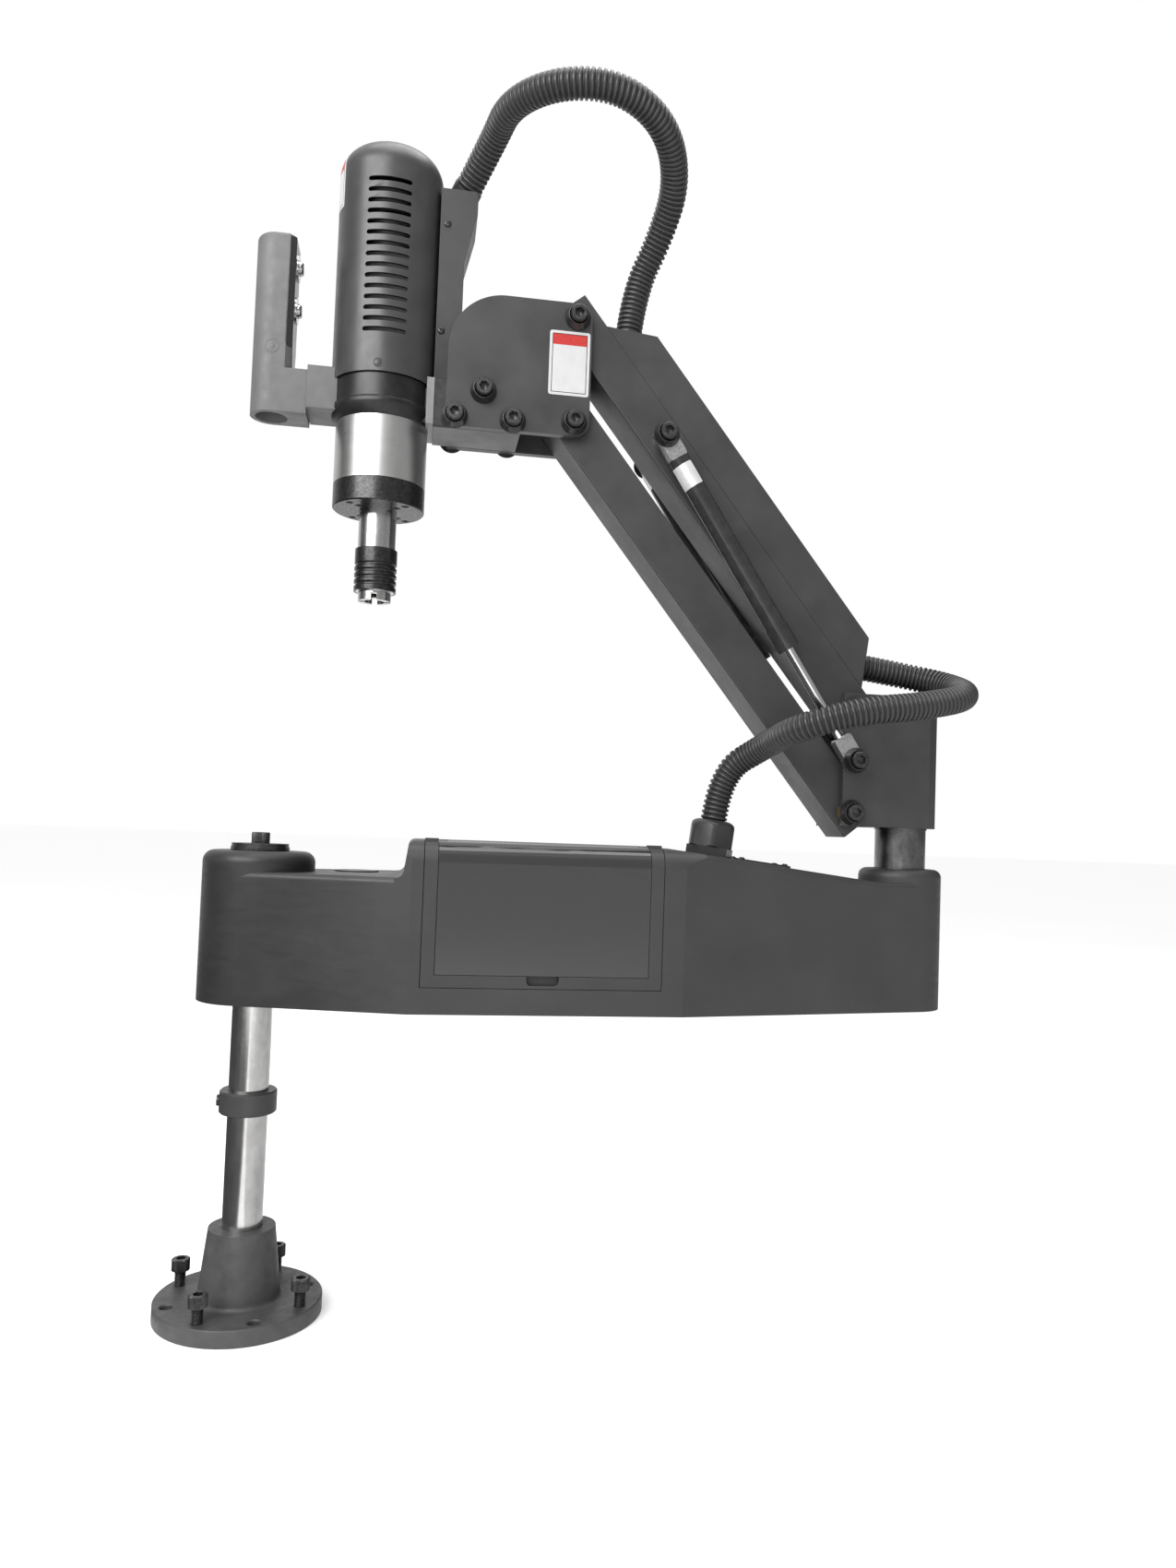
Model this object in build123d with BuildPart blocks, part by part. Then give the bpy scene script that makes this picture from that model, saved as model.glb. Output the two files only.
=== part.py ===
"""Arm tapping machine: a clamped column, a swinging box arm, a balanced
parallelogram arm and a geared servo tapping head.

Frame: millimetres, +Z up.  The origin is the centre of the base flange's
underside, on the column's axis.  +X runs along the box arm from the column to
the pillar, and -Y is the side with the control lid and the front of the head.
"""
import math
import os

from build123d import *

# ------------------------------------------------------------------ fits
running_clearance = 0.05      # radial, a shaft turning or sliding in its hole
bolt_hole_clearance = 0.3     # radial, a bolt shank in a plain hole
face_gap = 0.3                # between faces that slide or swing past each other
side_gap = 1.0                # each side of an arm between its two plates

# ------------------------------------------------------------------ base flange
flange_dia = 145.0
flange_thickness = 14.4
socket_foot_dia = 72.0
socket_top_dia = 58.0
socket_top_z = 75.5
socket_foot_fillet = 4.0
flange_edge_chamfer = 1.0
column_floor_z = 6.0          # blind end of the column's bore
fixing_pcd = 122.0
fixing_count = 4
fixing_hole_dia = 11.0
fixing_hole_chamfer = 1.2
fixing_first_angle = 20.0
jack_screw_angle = 65.0       # first levelling screw, on the same pitch circle
jack_screw_foot_z = 1.0
jack_screw_under_head_z = 28.5

# ------------------------------------------------------------------ socket-head bolts
bolt_dia = 10.0
bolt_head_dia = 16.0
bolt_head_height = 10.0
bolt_hex = 8.0
bolt_hex_depth = 5.0
bolt_edge = 0.8
washer_dia = 24.5
washer_thickness = 3.0        # the floor under the bolt's head
washer_rim_dia = 19.0
washer_rim_height = 8.0
washer_cup_dia = 17.2
tapped_clearance = 0.05       # radial, a shank modelled without its thread

# ------------------------------------------------------------------ column and collar
column_dia = 35.0
column_neck_dia = 30.0
column_shoulder_z = 299.9
column_top_z = 405.0
column_bolt_reach = 30.0
cap_dia = 51.5
cap_lip_dia = 50.0
cap_lip_height = 3.0
cap_height = 6.2
collar_dia = 50.0
collar_bottom_z = 176.0
collar_height = 20.0
collar_edge = 1.2
collar_screw_dia = 8.0
collar_screw_head_dia = 10.0
collar_screw_proud = 2.0

# ------------------------------------------------------------------ box arm
column_to_pillar = 612.5
box_bottom_z = 277.0
box_wall = 4.0
column_end_radius = 49.0
pillar_end_radius = 39.5
box_half_width = 83.0
box_wide_start_x = 136.0
box_wide_end_x = 376.0
boss_top_z = 409.5
boss_edge = 10.0
low_deck_z = 392.2
step_foot_x = 128.5
step_top_x = 133.0
step_fillet = 7.0
high_deck_z = 424.5
slope_start_x = 361.0
slope_end_x = 573.0
slope_end_z = 399.0
pillar_boss_top_z = 412.0
pillar_boss_edge = 8.0
deck_edge = 5.0
cover_plate_thickness = 4.0
cover_plate_gap = 0.3
boss_hole_gap = 1.0           # radial, round the column's neck and the pillar

# ------------------------------------------------------------------ frame inside the box
hub_wall = 7.0
rail_half_gap = 24.0
rail_thickness = 6.0
rail_bottom_z = 285.0
rail_top_z = 330.0
cross_web_xs = (120.0, 300.0, 480.0)
column_bearing_dia = 52.0
column_bearing_height = 16.0
column_hub_top_z = 398.0
pillar_bearing_wall = 4.5
pillar_bearing_height = 15.0
pillar_hub_wall = 5.0
pillar_hub_top_z = 391.0
pillar_floor_z = 286.0

# ------------------------------------------------------------------ control bay and lid
frame_left_x = 146.0
frame_right_x = 356.5
frame_bottom_z = 299.5
frame_strip = 12.0
frame_foot_strip = 11.0
frame_fit = 0.5
lid_round = 18.0              # the lid and its frame roll over the box's top edge
bay_back_y = -48.0
bay_wall = 3.0
lid_fit = 0.4
lid_thickness = 3.0
lid_rear_y = -64.5
hinge_y = -61.5
hinge_z = 423.2
hinge_pin_dia = 3.0
hinge_barrel_dia = 5.2
hinge_barrel_length = 8.0
hinge_pin_grip = 6.0
hinge_ear_height = 2.2
hinge_ear_rear_y = -55.0
hinge_ear_front_y = -68.0
bay_top_wall_y = -58.0
bay_top_wall = 4.0
notch_width = 28.0
notch_depth = 8.0
notch_sink = 6.0
notch_round = 4.0
screen_margin = 12.0
screen_thickness = 8.0
screen_rim = 7.0
screen_recess = 1.0
drive_length = 150.0
drive_left_x = 175.0
drive_front_y = -38.0
drive_rear_y = 44.0
drive_height = 68.0
drive_fin_pitch = 10.0
drive_fin_depth = 5.0

# ------------------------------------------------------------------ deck fittings
gland_x = 417.5
gland_hex = 40.0
gland_hex_height = 9.0
gland_nut_dia = 41.0
gland_nut_height = 21.0
gland_dome_height = 5.0
gland_mouth_dia = 27.5
gland_thread_dia = 32.0
gland_thread_length = 12.0
gland_locknut_hex = 40.0
gland_locknut_height = 5.0
gland_bore_dia = 20.0
deck_plug_x = 85.0
deck_plug_y = 25.0
deck_plug_dia = 41.0
deck_plug_proud = 1.2
deck_plug_stem_dia = 36.0
deck_plug_stem = 9.0
slope_plate_start_x = 441.0
slope_plate_length = 53.0
slope_plate_width = 40.0
slope_plate_thickness = 2.4
slope_plate_boss_dia = 26.0

# ------------------------------------------------------------------ pillar and rear bracket
pillar_dia = 48.5
pillar_top_z = 449.8
pillar_washer_rim = 0.8
bracket_bottom_z = 451.5
bracket_top_z = 578.5
bracket_front_x = 538.0
bracket_back_x = 638.0
bracket_half_width = 34.0
bracket_chamfer = 12.0
plate_thickness = 8.0
bracket_floor_x = 580.0
bracket_floor = 12.0
pillar_bolt_dia = 12.0
pillar_bolt_head_dia = 18.0
pillar_bolt_head_height = 12.0
pillar_bolt_reach = 32.0

# ------------------------------------------------------------------ parallelogram arm
rear_pivot_x = 547.8
lower_pivot_z = 464.1
pivot_spacing = 98.7
front_pivot_x = 267.05        # the arm's upper front pivot, 450 mm from the rear one
front_pivot_z = 914.48
arm_width = 50.0
arm_wall = 4.0
arm_overhang = 16.5
upper_arm_below = 16.0
upper_arm_above = 22.5
lower_arm_below = 17.0
lower_arm_above = 22.5
arm_edge = 1.5
seam_chamfer = 0.4             # each side of the line between the upper arm and its cover
pivot_shaft_dia = 18.0
bush_dia = 23.0
bush_proud = 0.5
bolt_reach = 18.0

cover_rise = 35.0
cover_front_gap = 19.0        # from the front pivot, at the cover's foot
cover_front_top_gap = 53.0
cover_rear = 11.5
cover_rear_top = 45.5
cover_sheet = 2.0
cover_screw_dia = 5.0
cover_screw_head_dia = 8.0
cover_screw_head = 2.0
cover_screw_from_pivot = 70.0
cover_flange = 8.0

# ------------------------------------------------------------------ gas springs
spring_upper_along = 313.0    # from the arm's rear pivot
spring_lower_x = 545.1
spring_lower_z = 513.0
spring_centre_y = 41.5
spring_body_dia = 20.0
spring_body_wall = 1.5
spring_body_start = 24.0      # from the upper bolt
spring_body_length = 205.0
spring_collar_dia = 22.0
spring_collar_length = 24.0
spring_mouth_dia = 14.0
spring_rod_dia = 9.5
spring_rod_inside = 55.0
eye_width = 12.0
eye_height = 18.0
eye_bolt_offset = 9.0
rod_eye_length = 26.0

# ------------------------------------------------------------------ head bracket
head_plate_left_x = 149.0
head_plate_margin_right = 14.3    # beyond the front pivots
head_plate_margin_top = 13.8
head_plate_margin_bottom = 13.0
head_plate_round = 52.0
head_plate_corner = 6.0
head_block_left_x = 138.0
head_block_right_x = 218.0
head_block_top_z = 848.0
block_bolt_points = ((182.3, 837.2), (156.7, 811.8), (210.1, 811.8))
mount_plate_thickness = 7.0
mount_plate_bottom_z = 805.0
mount_plate_half_width = 27.0

# ------------------------------------------------------------------ tapping head
head_x = 91.2                 # the spindle's axis
case_dia = 95.4
case_wall = 2.5
case_bottom_z = 841.2
case_top_z = 1062.0
case_round = 25.0
vent_count = 15
vent_first_z = 1017.0
vent_pitch = 9.85
vent_width = 38.8
vent_height = 4.2
seam_gap = 0.4
ring_dia = 91.0
ring_taper_z = 815.4
ring_bottom_z = 804.6
ring_lug_half_width = 24.0
ring_lug_bottom_z = 807.0
ring_lug_top_z = 838.0
reducer_dia = 84.0
reducer_bottom_z = 748.3
reducer_neck_dia = 70.0
reducer_neck_top_z = 841.0
end_ring_bottom_z = 726.7
end_ring_edge = 1.0
face_screw_dia = 4.0
face_screw_head_dia = 7.0
face_screw_head = 4.0
face_screw_reach = 9.0
outer_screw_pcd = 70.0
inner_screw_pcd = 48.0
face_screw_count = 4
servo_width = 60.0
servo_height = 120.0
servo_edge = 6.0
encoder_dia = 50.0
encoder_height = 34.0
spindle_dia = 34.4
spindle_top_z = 772.0
chuck_top_z = 686.0
sleeve_bottom_z = 651.0
sleeve_top_z = 690.0
sleeve_dia = 38.6
sleeve_plain = 15.0
sleeve_ridges = 4
sleeve_ridge_depth = 1.2
nose_bottom_z = 642.3
nose_dia = 30.0
nose_slot = 5.0
nose_slot_depth = 6.0
chuck_bore_dia = 19.0
chuck_bore_length = 36.0

# ------------------------------------------------------------------ wire box on the head
wire_box_left_x = 137.0
wire_box_waist_x = 160.3
wire_box_top_x = 171.0
wire_box_half_width = 25.0
wire_box_top_z = 1027.5
wire_box_bend_z = 1006.0
wire_box_waist_z = 962.0
wire_box_sheet = 2.0
wire_box_corner = 3.0
wire_box_screw_points = ((143.5, 994.0), (141.5, 893.0))
case_saddle_gap = 0.2

# ------------------------------------------------------------------ handle
grip_centre_x = -9.0
grip_radius = 19.0
grip_front_x = 8.0
grip_chamfer = 5.0
grip_bottom_z = 806.5
grip_top_z = 973.0
grip_edge = 5.0
grip_bore_dia = 29.0
grip_bore_top_z = 960.0
elbow_top_z = 847.0
elbow_end_x = 23.5
clamp_bottom_z = 812.0
clamp_top_z = 851.0
clamp_front_y = -21.0
clamp_rear_y = 25.0
clamp_end_x = 60.0
button_zs = (948.0, 908.0)
bezel_dia = 24.0
bezel_proud = 2.0
bezel_stem_dia = 18.0
bezel_stem = 10.0
button_dia = 13.0
button_proud = 6.0
button_dome = 2.5
button_sink = 7.0

# ------------------------------------------------------------------ hoses
hose_dia = 25.5
hose_valley_dia = 21.5
hose_bore_dia = 18.0
rib_pitch = 4.7
rib_crest = 1.9               # flat top of a rib along the hose
rib_flank = 0.6
hose_ferrule_dia = 27.0
hose_ferrule_length = 17.5


# ================================================================== helpers
def slab(x0, x1, y0, y1, z0, z1, mode=Mode.ADD):
    """A box between two corners."""
    with Locations(((x0 + x1) / 2, (y0 + y1) / 2, (z0 + z1) / 2)):
        Box(x1 - x0, y1 - y0, z1 - z0, mode=mode)


def rod_z(x, y, radius, z0, z1, mode=Mode.ADD):
    """A round bar along Z."""
    with Locations((x, y, (z0 + z1) / 2)):
        Cylinder(radius, z1 - z0, mode=mode)


def rod_y(x, z, radius, y0, y1, mode=Mode.ADD):
    """A round bar along Y."""
    with Locations(Location((x, (y0 + y1) / 2, z), (90, 0, 0))):
        Cylinder(radius, y1 - y0, mode=mode)


def rod_x(y, z, radius, x0, x1, mode=Mode.ADD):
    """A round bar along X."""
    with Locations(Location(((x0 + x1) / 2, y, z), (0, 90, 0))):
        Cylinder(radius, x1 - x0, mode=mode)


def prism_y(points, y0, y1, mode=Mode.ADD):
    """A polygon of (x, z) points pulled from y0 to y1."""
    with BuildSketch(Plane.XZ.offset(-y1)) as profile:
        Polygon(*points, align=None)
    extrude(profile.sketch, amount=y1 - y0, mode=mode)


def hexagon(across_flats):
    """A hexagon given across its flats."""
    RegularPolygon(across_flats / 2, 6, major_radius=False)


def write(name, piece):
    """Label a finished piece and write it as its own file."""
    piece.part.label = name
    export_step(piece.part, f"parts/{name}.step")


def disc(plane, radius, height, mode=Mode.ADD):
    """A round disc or hole standing on a plane; a negative height goes below it."""
    with BuildSketch(plane) as outline:
        Circle(radius)
    extrude(outline.sketch, amount=height, mode=mode)


def tube(plane, radius, bore, height):
    """A round tube standing on a plane."""
    with BuildSketch(plane) as outline:
        Circle(radius)
        Circle(bore, mode=Mode.SUBTRACT)
    extrude(outline.sketch, amount=height)


def socket_bolt(seat, reach, dia=bolt_dia, head_dia=bolt_head_dia, head=bolt_head_height):
    """A socket-head bolt whose head sits on the seat plane and points along its normal."""
    disc(seat, head_dia / 2, head)
    rim = edges(Select.LAST).filter_by(GeomType.CIRCLE).sort_by(Axis(seat.origin, seat.z_dir))[-1]
    chamfer(rim, bolt_edge)
    disc(seat, dia / 2 - tapped_clearance, -reach)
    with BuildSketch(seat.offset(head)) as key:
        hexagon(head_dia * bolt_hex / bolt_head_dia)
    extrude(key.sketch, amount=-bolt_hex_depth, mode=Mode.SUBTRACT)


def washer(face):
    """A cupped washer lying on the plane: a cone with the bolt's head sunk in its rim."""
    with Locations(face.offset(washer_rim_height / 2)):
        Cone(washer_dia / 2, washer_rim_dia / 2, washer_rim_height)
    disc(face.offset(washer_thickness), washer_cup_dia / 2, washer_rim_height - washer_thickness, Mode.SUBTRACT)
    disc(face, bolt_dia / 2 + bolt_hole_clearance, washer_thickness, Mode.SUBTRACT)


def side_planes(x, z, half_width):
    """The near and far planes that a bolt at (x, z) sits on, pointing outwards."""
    near = Plane(origin=(x, -half_width, z), x_dir=(1, 0, 0), z_dir=(0, -1, 0))
    far = Plane(origin=(x, half_width, z), x_dir=(1, 0, 0), z_dir=(0, 1, 0))
    return near, far


# ================================================================== points and planes
upper_pivot_z = lower_pivot_z + pivot_spacing
upper_rear = Vector(rear_pivot_x, 0, upper_pivot_z)
lower_rear = Vector(rear_pivot_x, 0, lower_pivot_z)
upper_front = Vector(front_pivot_x, 0, front_pivot_z)
lower_front = Vector(front_pivot_x, 0, front_pivot_z - pivot_spacing)
arm_length = (upper_front - upper_rear).length
arm_run = (upper_front - upper_rear).normalized()
cover_front = arm_length - cover_front_gap
cover_front_top = arm_length - cover_front_top_gap
cover_screw_along = (cover_screw_from_pivot, arm_length - cover_screw_from_pivot)
spring_upper = upper_rear + arm_run * spring_upper_along
spring_lower = Vector(spring_lower_x, 0, spring_lower_z)

# In an arm's plane, X runs from the rear pivot to the front one and Y is the arm's upper side.
upper_plane = Plane(origin=upper_rear, x_dir=arm_run, z_dir=(0, 1, 0))
lower_plane = Plane(origin=lower_rear, x_dir=arm_run, z_dir=(0, 1, 0))

arm_half = arm_width / 2
inner_half = arm_half + side_gap
bolt_radius = bolt_dia / 2
plain_hole = bolt_radius + bolt_hole_clearance
shaft_radius = pivot_shaft_dia / 2


# ================================================================== base
with BuildPart() as base_flange:
    rod_z(0, 0, flange_dia / 2, 0, flange_thickness)
    chamfer(base_flange.edges().filter_by(GeomType.CIRCLE).sort_by(Axis.Z)[-1], flange_edge_chamfer)
    with Locations((0, 0, (flange_thickness + socket_top_z) / 2)):
        Cone(socket_foot_dia / 2, socket_top_dia / 2, socket_top_z - flange_thickness)
    foot = base_flange.edges().filter_by(GeomType.CIRCLE).filter_by(
        lambda e: abs(e.radius - socket_foot_dia / 2) < 0.01 and abs(e.center().Z - flange_thickness) < 0.01)
    fillet(foot, socket_foot_fillet)
    rod_z(0, 0, column_dia / 2 + running_clearance, column_floor_z, socket_top_z, Mode.SUBTRACT)
    with Locations((0, 0, flange_thickness)):
        with PolarLocations(fixing_pcd / 2, fixing_count, start_angle=fixing_first_angle):
            CounterSinkHole(fixing_hole_dia / 2, fixing_hole_dia / 2 + fixing_hole_chamfer, counter_sink_angle=90)
        with PolarLocations(fixing_pcd / 2, fixing_count, start_angle=jack_screw_angle):
            Hole(bolt_radius)

cap_bottom_z = boss_top_z + face_gap
cap_top_z = cap_bottom_z + cap_height
with BuildPart() as base_bolts:
    for turn in range(fixing_count):
        angle = math.radians(jack_screw_angle + 360 / fixing_count * turn)
        x = fixing_pcd / 2 * math.cos(angle)
        y = fixing_pcd / 2 * math.sin(angle)
        seat = Plane(origin=(x, y, jack_screw_under_head_z))
        socket_bolt(seat, jack_screw_under_head_z - jack_screw_foot_z)
    socket_bolt(Plane(origin=(0, 0, cap_top_z)), cap_top_z - column_top_z + column_bolt_reach - 2)

with BuildPart() as column:
    rod_z(0, 0, column_dia / 2, column_floor_z, column_shoulder_z)
    rod_z(0, 0, column_neck_dia / 2, column_shoulder_z, column_top_z)
    rod_z(0, 0, bolt_radius, column_top_z - column_bolt_reach, column_top_z, Mode.SUBTRACT)

with BuildPart() as column_cap:
    rod_z(0, 0, cap_dia / 2, cap_bottom_z, cap_top_z - cap_lip_height)
    rod_z(0, 0, cap_lip_dia / 2, cap_top_z - cap_lip_height, cap_top_z)
    rod_z(0, 0, column_neck_dia / 2, column_top_z, cap_bottom_z)
    rod_z(0, 0, plain_hole, column_top_z, cap_top_z, Mode.SUBTRACT)

# ------------------------------------------------------------------ height collar
collar_mid_z = collar_bottom_z + collar_height / 2
with BuildPart() as height_collar:
    rod_z(0, 0, collar_dia / 2, collar_bottom_z, collar_bottom_z + collar_height)
    chamfer(height_collar.edges().filter_by(GeomType.CIRCLE), collar_edge)
    rod_z(0, 0, column_dia / 2 + running_clearance, collar_bottom_z, collar_bottom_z + collar_height, Mode.SUBTRACT)
    rod_x(0, collar_mid_z, collar_screw_dia / 2, -collar_dia / 2, 0, Mode.SUBTRACT)

with BuildPart() as collar_screw:
    rod_x(0, collar_mid_z, collar_screw_dia / 2 - tapped_clearance,
          -collar_dia / 2, -column_dia / 2 - running_clearance)
    rod_x(0, collar_mid_z, collar_screw_head_dia / 2, -collar_dia / 2 - collar_screw_proud, -collar_dia / 2)


# ================================================================== box arm
def box_outline(inset):
    """Plan of the box arm: two round ends and a wide flat-fronted middle, as one hull."""
    with BuildLine() as outline:
        CenterArc((0, 0), column_end_radius - inset, 0, 360)
        CenterArc((column_to_pillar, 0), pillar_end_radius - inset, 0, 360)
        for side in (-1, 1):
            half = side * (box_half_width - inset)
            Line((box_wide_start_x, half), (box_wide_end_x, half))
    make_hull(outline.edges())


def box_deck(drop, x_step, start_x, bottom):
    """Keep what lies under the decks, lowered by drop, with rounded step corners."""
    with BuildSketch(Plane.XZ) as profile:
        Polygon(
            (start_x, bottom),
            (start_x, low_deck_z - drop),
            (step_foot_x + x_step, low_deck_z - drop),
            (step_top_x + x_step, high_deck_z - drop),
            (slope_start_x, high_deck_z - drop),
            (slope_end_x, slope_end_z - drop),
            (column_to_pillar + pillar_end_radius, slope_end_z - drop),
            (column_to_pillar + pillar_end_radius, bottom),
            align=None)
        corners = profile.vertices().filter_by(
            lambda v: abs(v.X - step_foot_x - x_step) < 0.01 or abs(v.X - step_top_x - x_step) < 0.01)
        fillet(corners, step_fillet)
    extrude(profile.sketch, amount=box_half_width + 1, both=True, mode=Mode.INTERSECT)


def wall_slope_plane(x):
    """A plane on the sloping deck at x, square to it."""
    fall = Vector(slope_end_x - slope_start_x, 0, slope_end_z - high_deck_z).normalized()
    share = (x - slope_start_x) / (slope_end_x - slope_start_x)
    z = high_deck_z + share * (slope_end_z - high_deck_z)
    return Plane(origin=(x, 0, z), x_dir=fall, z_dir=fall.cross(Vector(0, 1, 0)))


gland_plane = wall_slope_plane(gland_x)
slope_plate_plane = wall_slope_plane(slope_plate_start_x + slope_plate_length / 2)
cavity_floor_z = box_bottom_z + cover_plate_thickness

box_right_x = column_to_pillar + pillar_end_radius
cavity_chamfer = (2 - math.sqrt(2)) * (lid_round - box_wall)
with BuildPart() as box_cavity:
    with BuildSketch(Plane.XY.offset(box_bottom_z - 1)):
        box_outline(box_wall)
    extrude(amount=high_deck_z - box_bottom_z)
    box_deck(box_wall, box_wall, -column_end_radius, box_bottom_z - 1)
    # drawn in along both long top edges, so that the wall stays full under the roll
    for side in (-1, 1):
        wall_y = side * (box_half_width - box_wall)
        ceiling_z = high_deck_z - box_wall
        with BuildSketch(Plane.YZ.offset(step_foot_x)):
            Polygon((wall_y, ceiling_z - cavity_chamfer), (wall_y, ceiling_z + 1),
                    (wall_y - side * cavity_chamfer, ceiling_z + 1),
                    (wall_y - side * cavity_chamfer, ceiling_z), align=None)
        extrude(amount=column_to_pillar - step_foot_x, mode=Mode.SUBTRACT)
    rod_z(0, 0, column_end_radius - box_wall, low_deck_z - box_wall - 1, boss_top_z - box_wall)

with BuildPart() as box_low_end:
    with BuildSketch(Plane.XY.offset(box_bottom_z)):
        box_outline(0)
    extrude(amount=low_deck_z - box_bottom_z)
    fillet(box_low_end.faces().sort_by(Axis.Z)[-1].edges(), deck_edge)

step_start_x = step_foot_x - step_fillet
with BuildPart() as box_high_end:
    with BuildSketch(Plane.XY.offset(box_bottom_z)):
        box_outline(0)
    extrude(amount=high_deck_z - box_bottom_z)
    with BuildSketch(Plane.XZ):
        Polygon((step_start_x, box_bottom_z), (step_start_x, high_deck_z), (slope_start_x, high_deck_z),
                (slope_end_x, slope_end_z), (box_right_x, slope_end_z), (box_right_x, box_bottom_z), align=None)
    extrude(amount=box_half_width + 1, both=True, mode=Mode.INTERSECT)
    deck_rim = box_high_end.edges().filter_by(
        lambda e: e.center().Z > slope_end_z - 1 and abs(e.tangent_at(0.5).Z) < 0.9
        and abs(e.tangent_at(0.5).Y) < 0.99)
    fillet(deck_rim, deck_edge)
    box_deck(0, 0, step_start_x, box_bottom_z)
    # the long top edges roll over like the lid, and the roll fades where the walls draw in
    for side in (-1, 1):
        wall_y = side * box_half_width
        with BuildSketch(Plane.YZ.offset(step_start_x)):
            with BuildLine():
                start = (wall_y, high_deck_z - lid_round)
                end = (wall_y - side * lid_round, high_deck_z)
                RadiusArc(start, end, -side * lid_round)
                Polyline(end, (end[0], high_deck_z + 1), (wall_y + side, high_deck_z + 1),
                         (wall_y + side, start[1]), start)
            make_face()
        extrude(amount=column_to_pillar, mode=Mode.SUBTRACT)

with BuildPart() as arm_housing:
    add(box_low_end.part)
    add(box_high_end.part)
    with BuildSketch(Plane.XZ) as boss_profile:
        with BuildLine():
            Polyline((0, low_deck_z - 2 * deck_edge), (column_end_radius, low_deck_z - 2 * deck_edge),
                     (column_end_radius, boss_top_z - boss_edge))
            RadiusArc((column_end_radius, boss_top_z - boss_edge),
                      (column_end_radius - boss_edge, boss_top_z), -boss_edge)
            Polyline((column_end_radius - boss_edge, boss_top_z), (0, boss_top_z),
                     (0, low_deck_z - 2 * deck_edge))
        make_face()
    revolve(axis=Axis.Z)
    pillar_axis = Axis((column_to_pillar, 0, 0), (0, 0, 1))
    with BuildSketch(Plane.XZ) as pillar_boss_profile:
        with BuildLine():
            mid = column_to_pillar
            rim = column_to_pillar + pillar_end_radius
            foot = slope_end_z - 2 * deck_edge
            Polyline((mid, foot), (rim, foot), (rim, pillar_boss_top_z - pillar_boss_edge))
            RadiusArc((rim, pillar_boss_top_z - pillar_boss_edge),
                      (rim - pillar_boss_edge, pillar_boss_top_z), -pillar_boss_edge)
            Polyline((rim - pillar_boss_edge, pillar_boss_top_z), (mid, pillar_boss_top_z), (mid, foot))
        make_face()
    revolve(axis=pillar_axis)
    add(box_cavity.part, mode=Mode.SUBTRACT)
    rod_z(0, 0, column_neck_dia / 2 + boss_hole_gap, boss_top_z - 3 * box_wall, boss_top_z + 1, Mode.SUBTRACT)
    rod_z(column_to_pillar, 0, pillar_dia / 2 + boss_hole_gap,
          slope_end_z - 3 * box_wall, pillar_boss_top_z + 1, Mode.SUBTRACT)
    # the mouth that the lid frame fills
    slab(frame_left_x, frame_right_x, -box_half_width - 1, bay_back_y + bay_wall + frame_fit,
         frame_bottom_z, high_deck_z + 1, Mode.SUBTRACT)
    with Locations(gland_plane):
        Cylinder(gland_thread_dia / 2 + frame_fit, 4 * box_wall, mode=Mode.SUBTRACT)
    with Locations(slope_plate_plane):
        Cylinder(slope_plate_boss_dia / 2 + frame_fit, 4 * box_wall, mode=Mode.SUBTRACT)
    rod_z(deck_plug_x, deck_plug_y, deck_plug_stem_dia / 2 + frame_fit,
          low_deck_z - 2 * box_wall, low_deck_z + 1, Mode.SUBTRACT)

with BuildPart() as bottom_cover:
    with BuildSketch(Plane.XY.offset(box_bottom_z)):
        box_outline(box_wall + cover_plate_gap)
        Circle(column_dia / 2 + boss_hole_gap, mode=Mode.SUBTRACT)
    extrude(amount=cover_plate_thickness)

# ------------------------------------------------------------------ welded frame inside the box
column_bearing_radius = column_bearing_dia / 2
pillar_bearing_radius = pillar_dia / 2 + running_clearance + pillar_bearing_wall
column_ledge_z = column_shoulder_z + 0.1
with BuildPart() as arm_frame:
    rod_z(0, 0, column_bearing_radius + hub_wall, cavity_floor_z, column_hub_top_z)
    rod_z(column_to_pillar, 0, pillar_bearing_radius + pillar_hub_wall, cavity_floor_z, pillar_hub_top_z)
    for side in (-1, 1):
        inner = side * rail_half_gap
        outer = side * (rail_half_gap + rail_thickness)
        slab(0, column_to_pillar, min(inner, outer), max(inner, outer), rail_bottom_z, rail_top_z)
    for web_x in cross_web_xs:
        slab(web_x, web_x + rail_thickness, -rail_half_gap, rail_half_gap, rail_bottom_z, rail_top_z)
    rod_z(0, 0, column_dia / 2 + boss_hole_gap, cavity_floor_z, column_ledge_z, Mode.SUBTRACT)
    rod_z(0, 0, column_bearing_radius, column_ledge_z, column_hub_top_z, Mode.SUBTRACT)
    rod_z(column_to_pillar, 0, pillar_bearing_radius, pillar_floor_z, pillar_hub_top_z, Mode.SUBTRACT)

with BuildPart() as swing_bearings:
    for low in (column_ledge_z, column_hub_top_z - column_bearing_height):
        with BuildSketch(Plane.XY.offset(low)):
            Circle(column_bearing_radius)
            Circle(column_neck_dia / 2 + running_clearance, mode=Mode.SUBTRACT)
        extrude(amount=column_bearing_height)
    for low in (pillar_floor_z, pillar_hub_top_z - pillar_bearing_height):
        with BuildSketch(Plane.XY.offset(low)):
            with Locations((column_to_pillar, 0)):
                Circle(pillar_bearing_radius)
                Circle(pillar_dia / 2 + running_clearance, mode=Mode.SUBTRACT)
        extrude(amount=pillar_bearing_height)

# ------------------------------------------------------------------ control bay
lid_left_x = frame_left_x + frame_strip
lid_right_x = frame_right_x - frame_strip
lid_bottom_z = frame_bottom_z + frame_foot_strip
frame_back_y = bay_back_y + bay_wall


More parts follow.
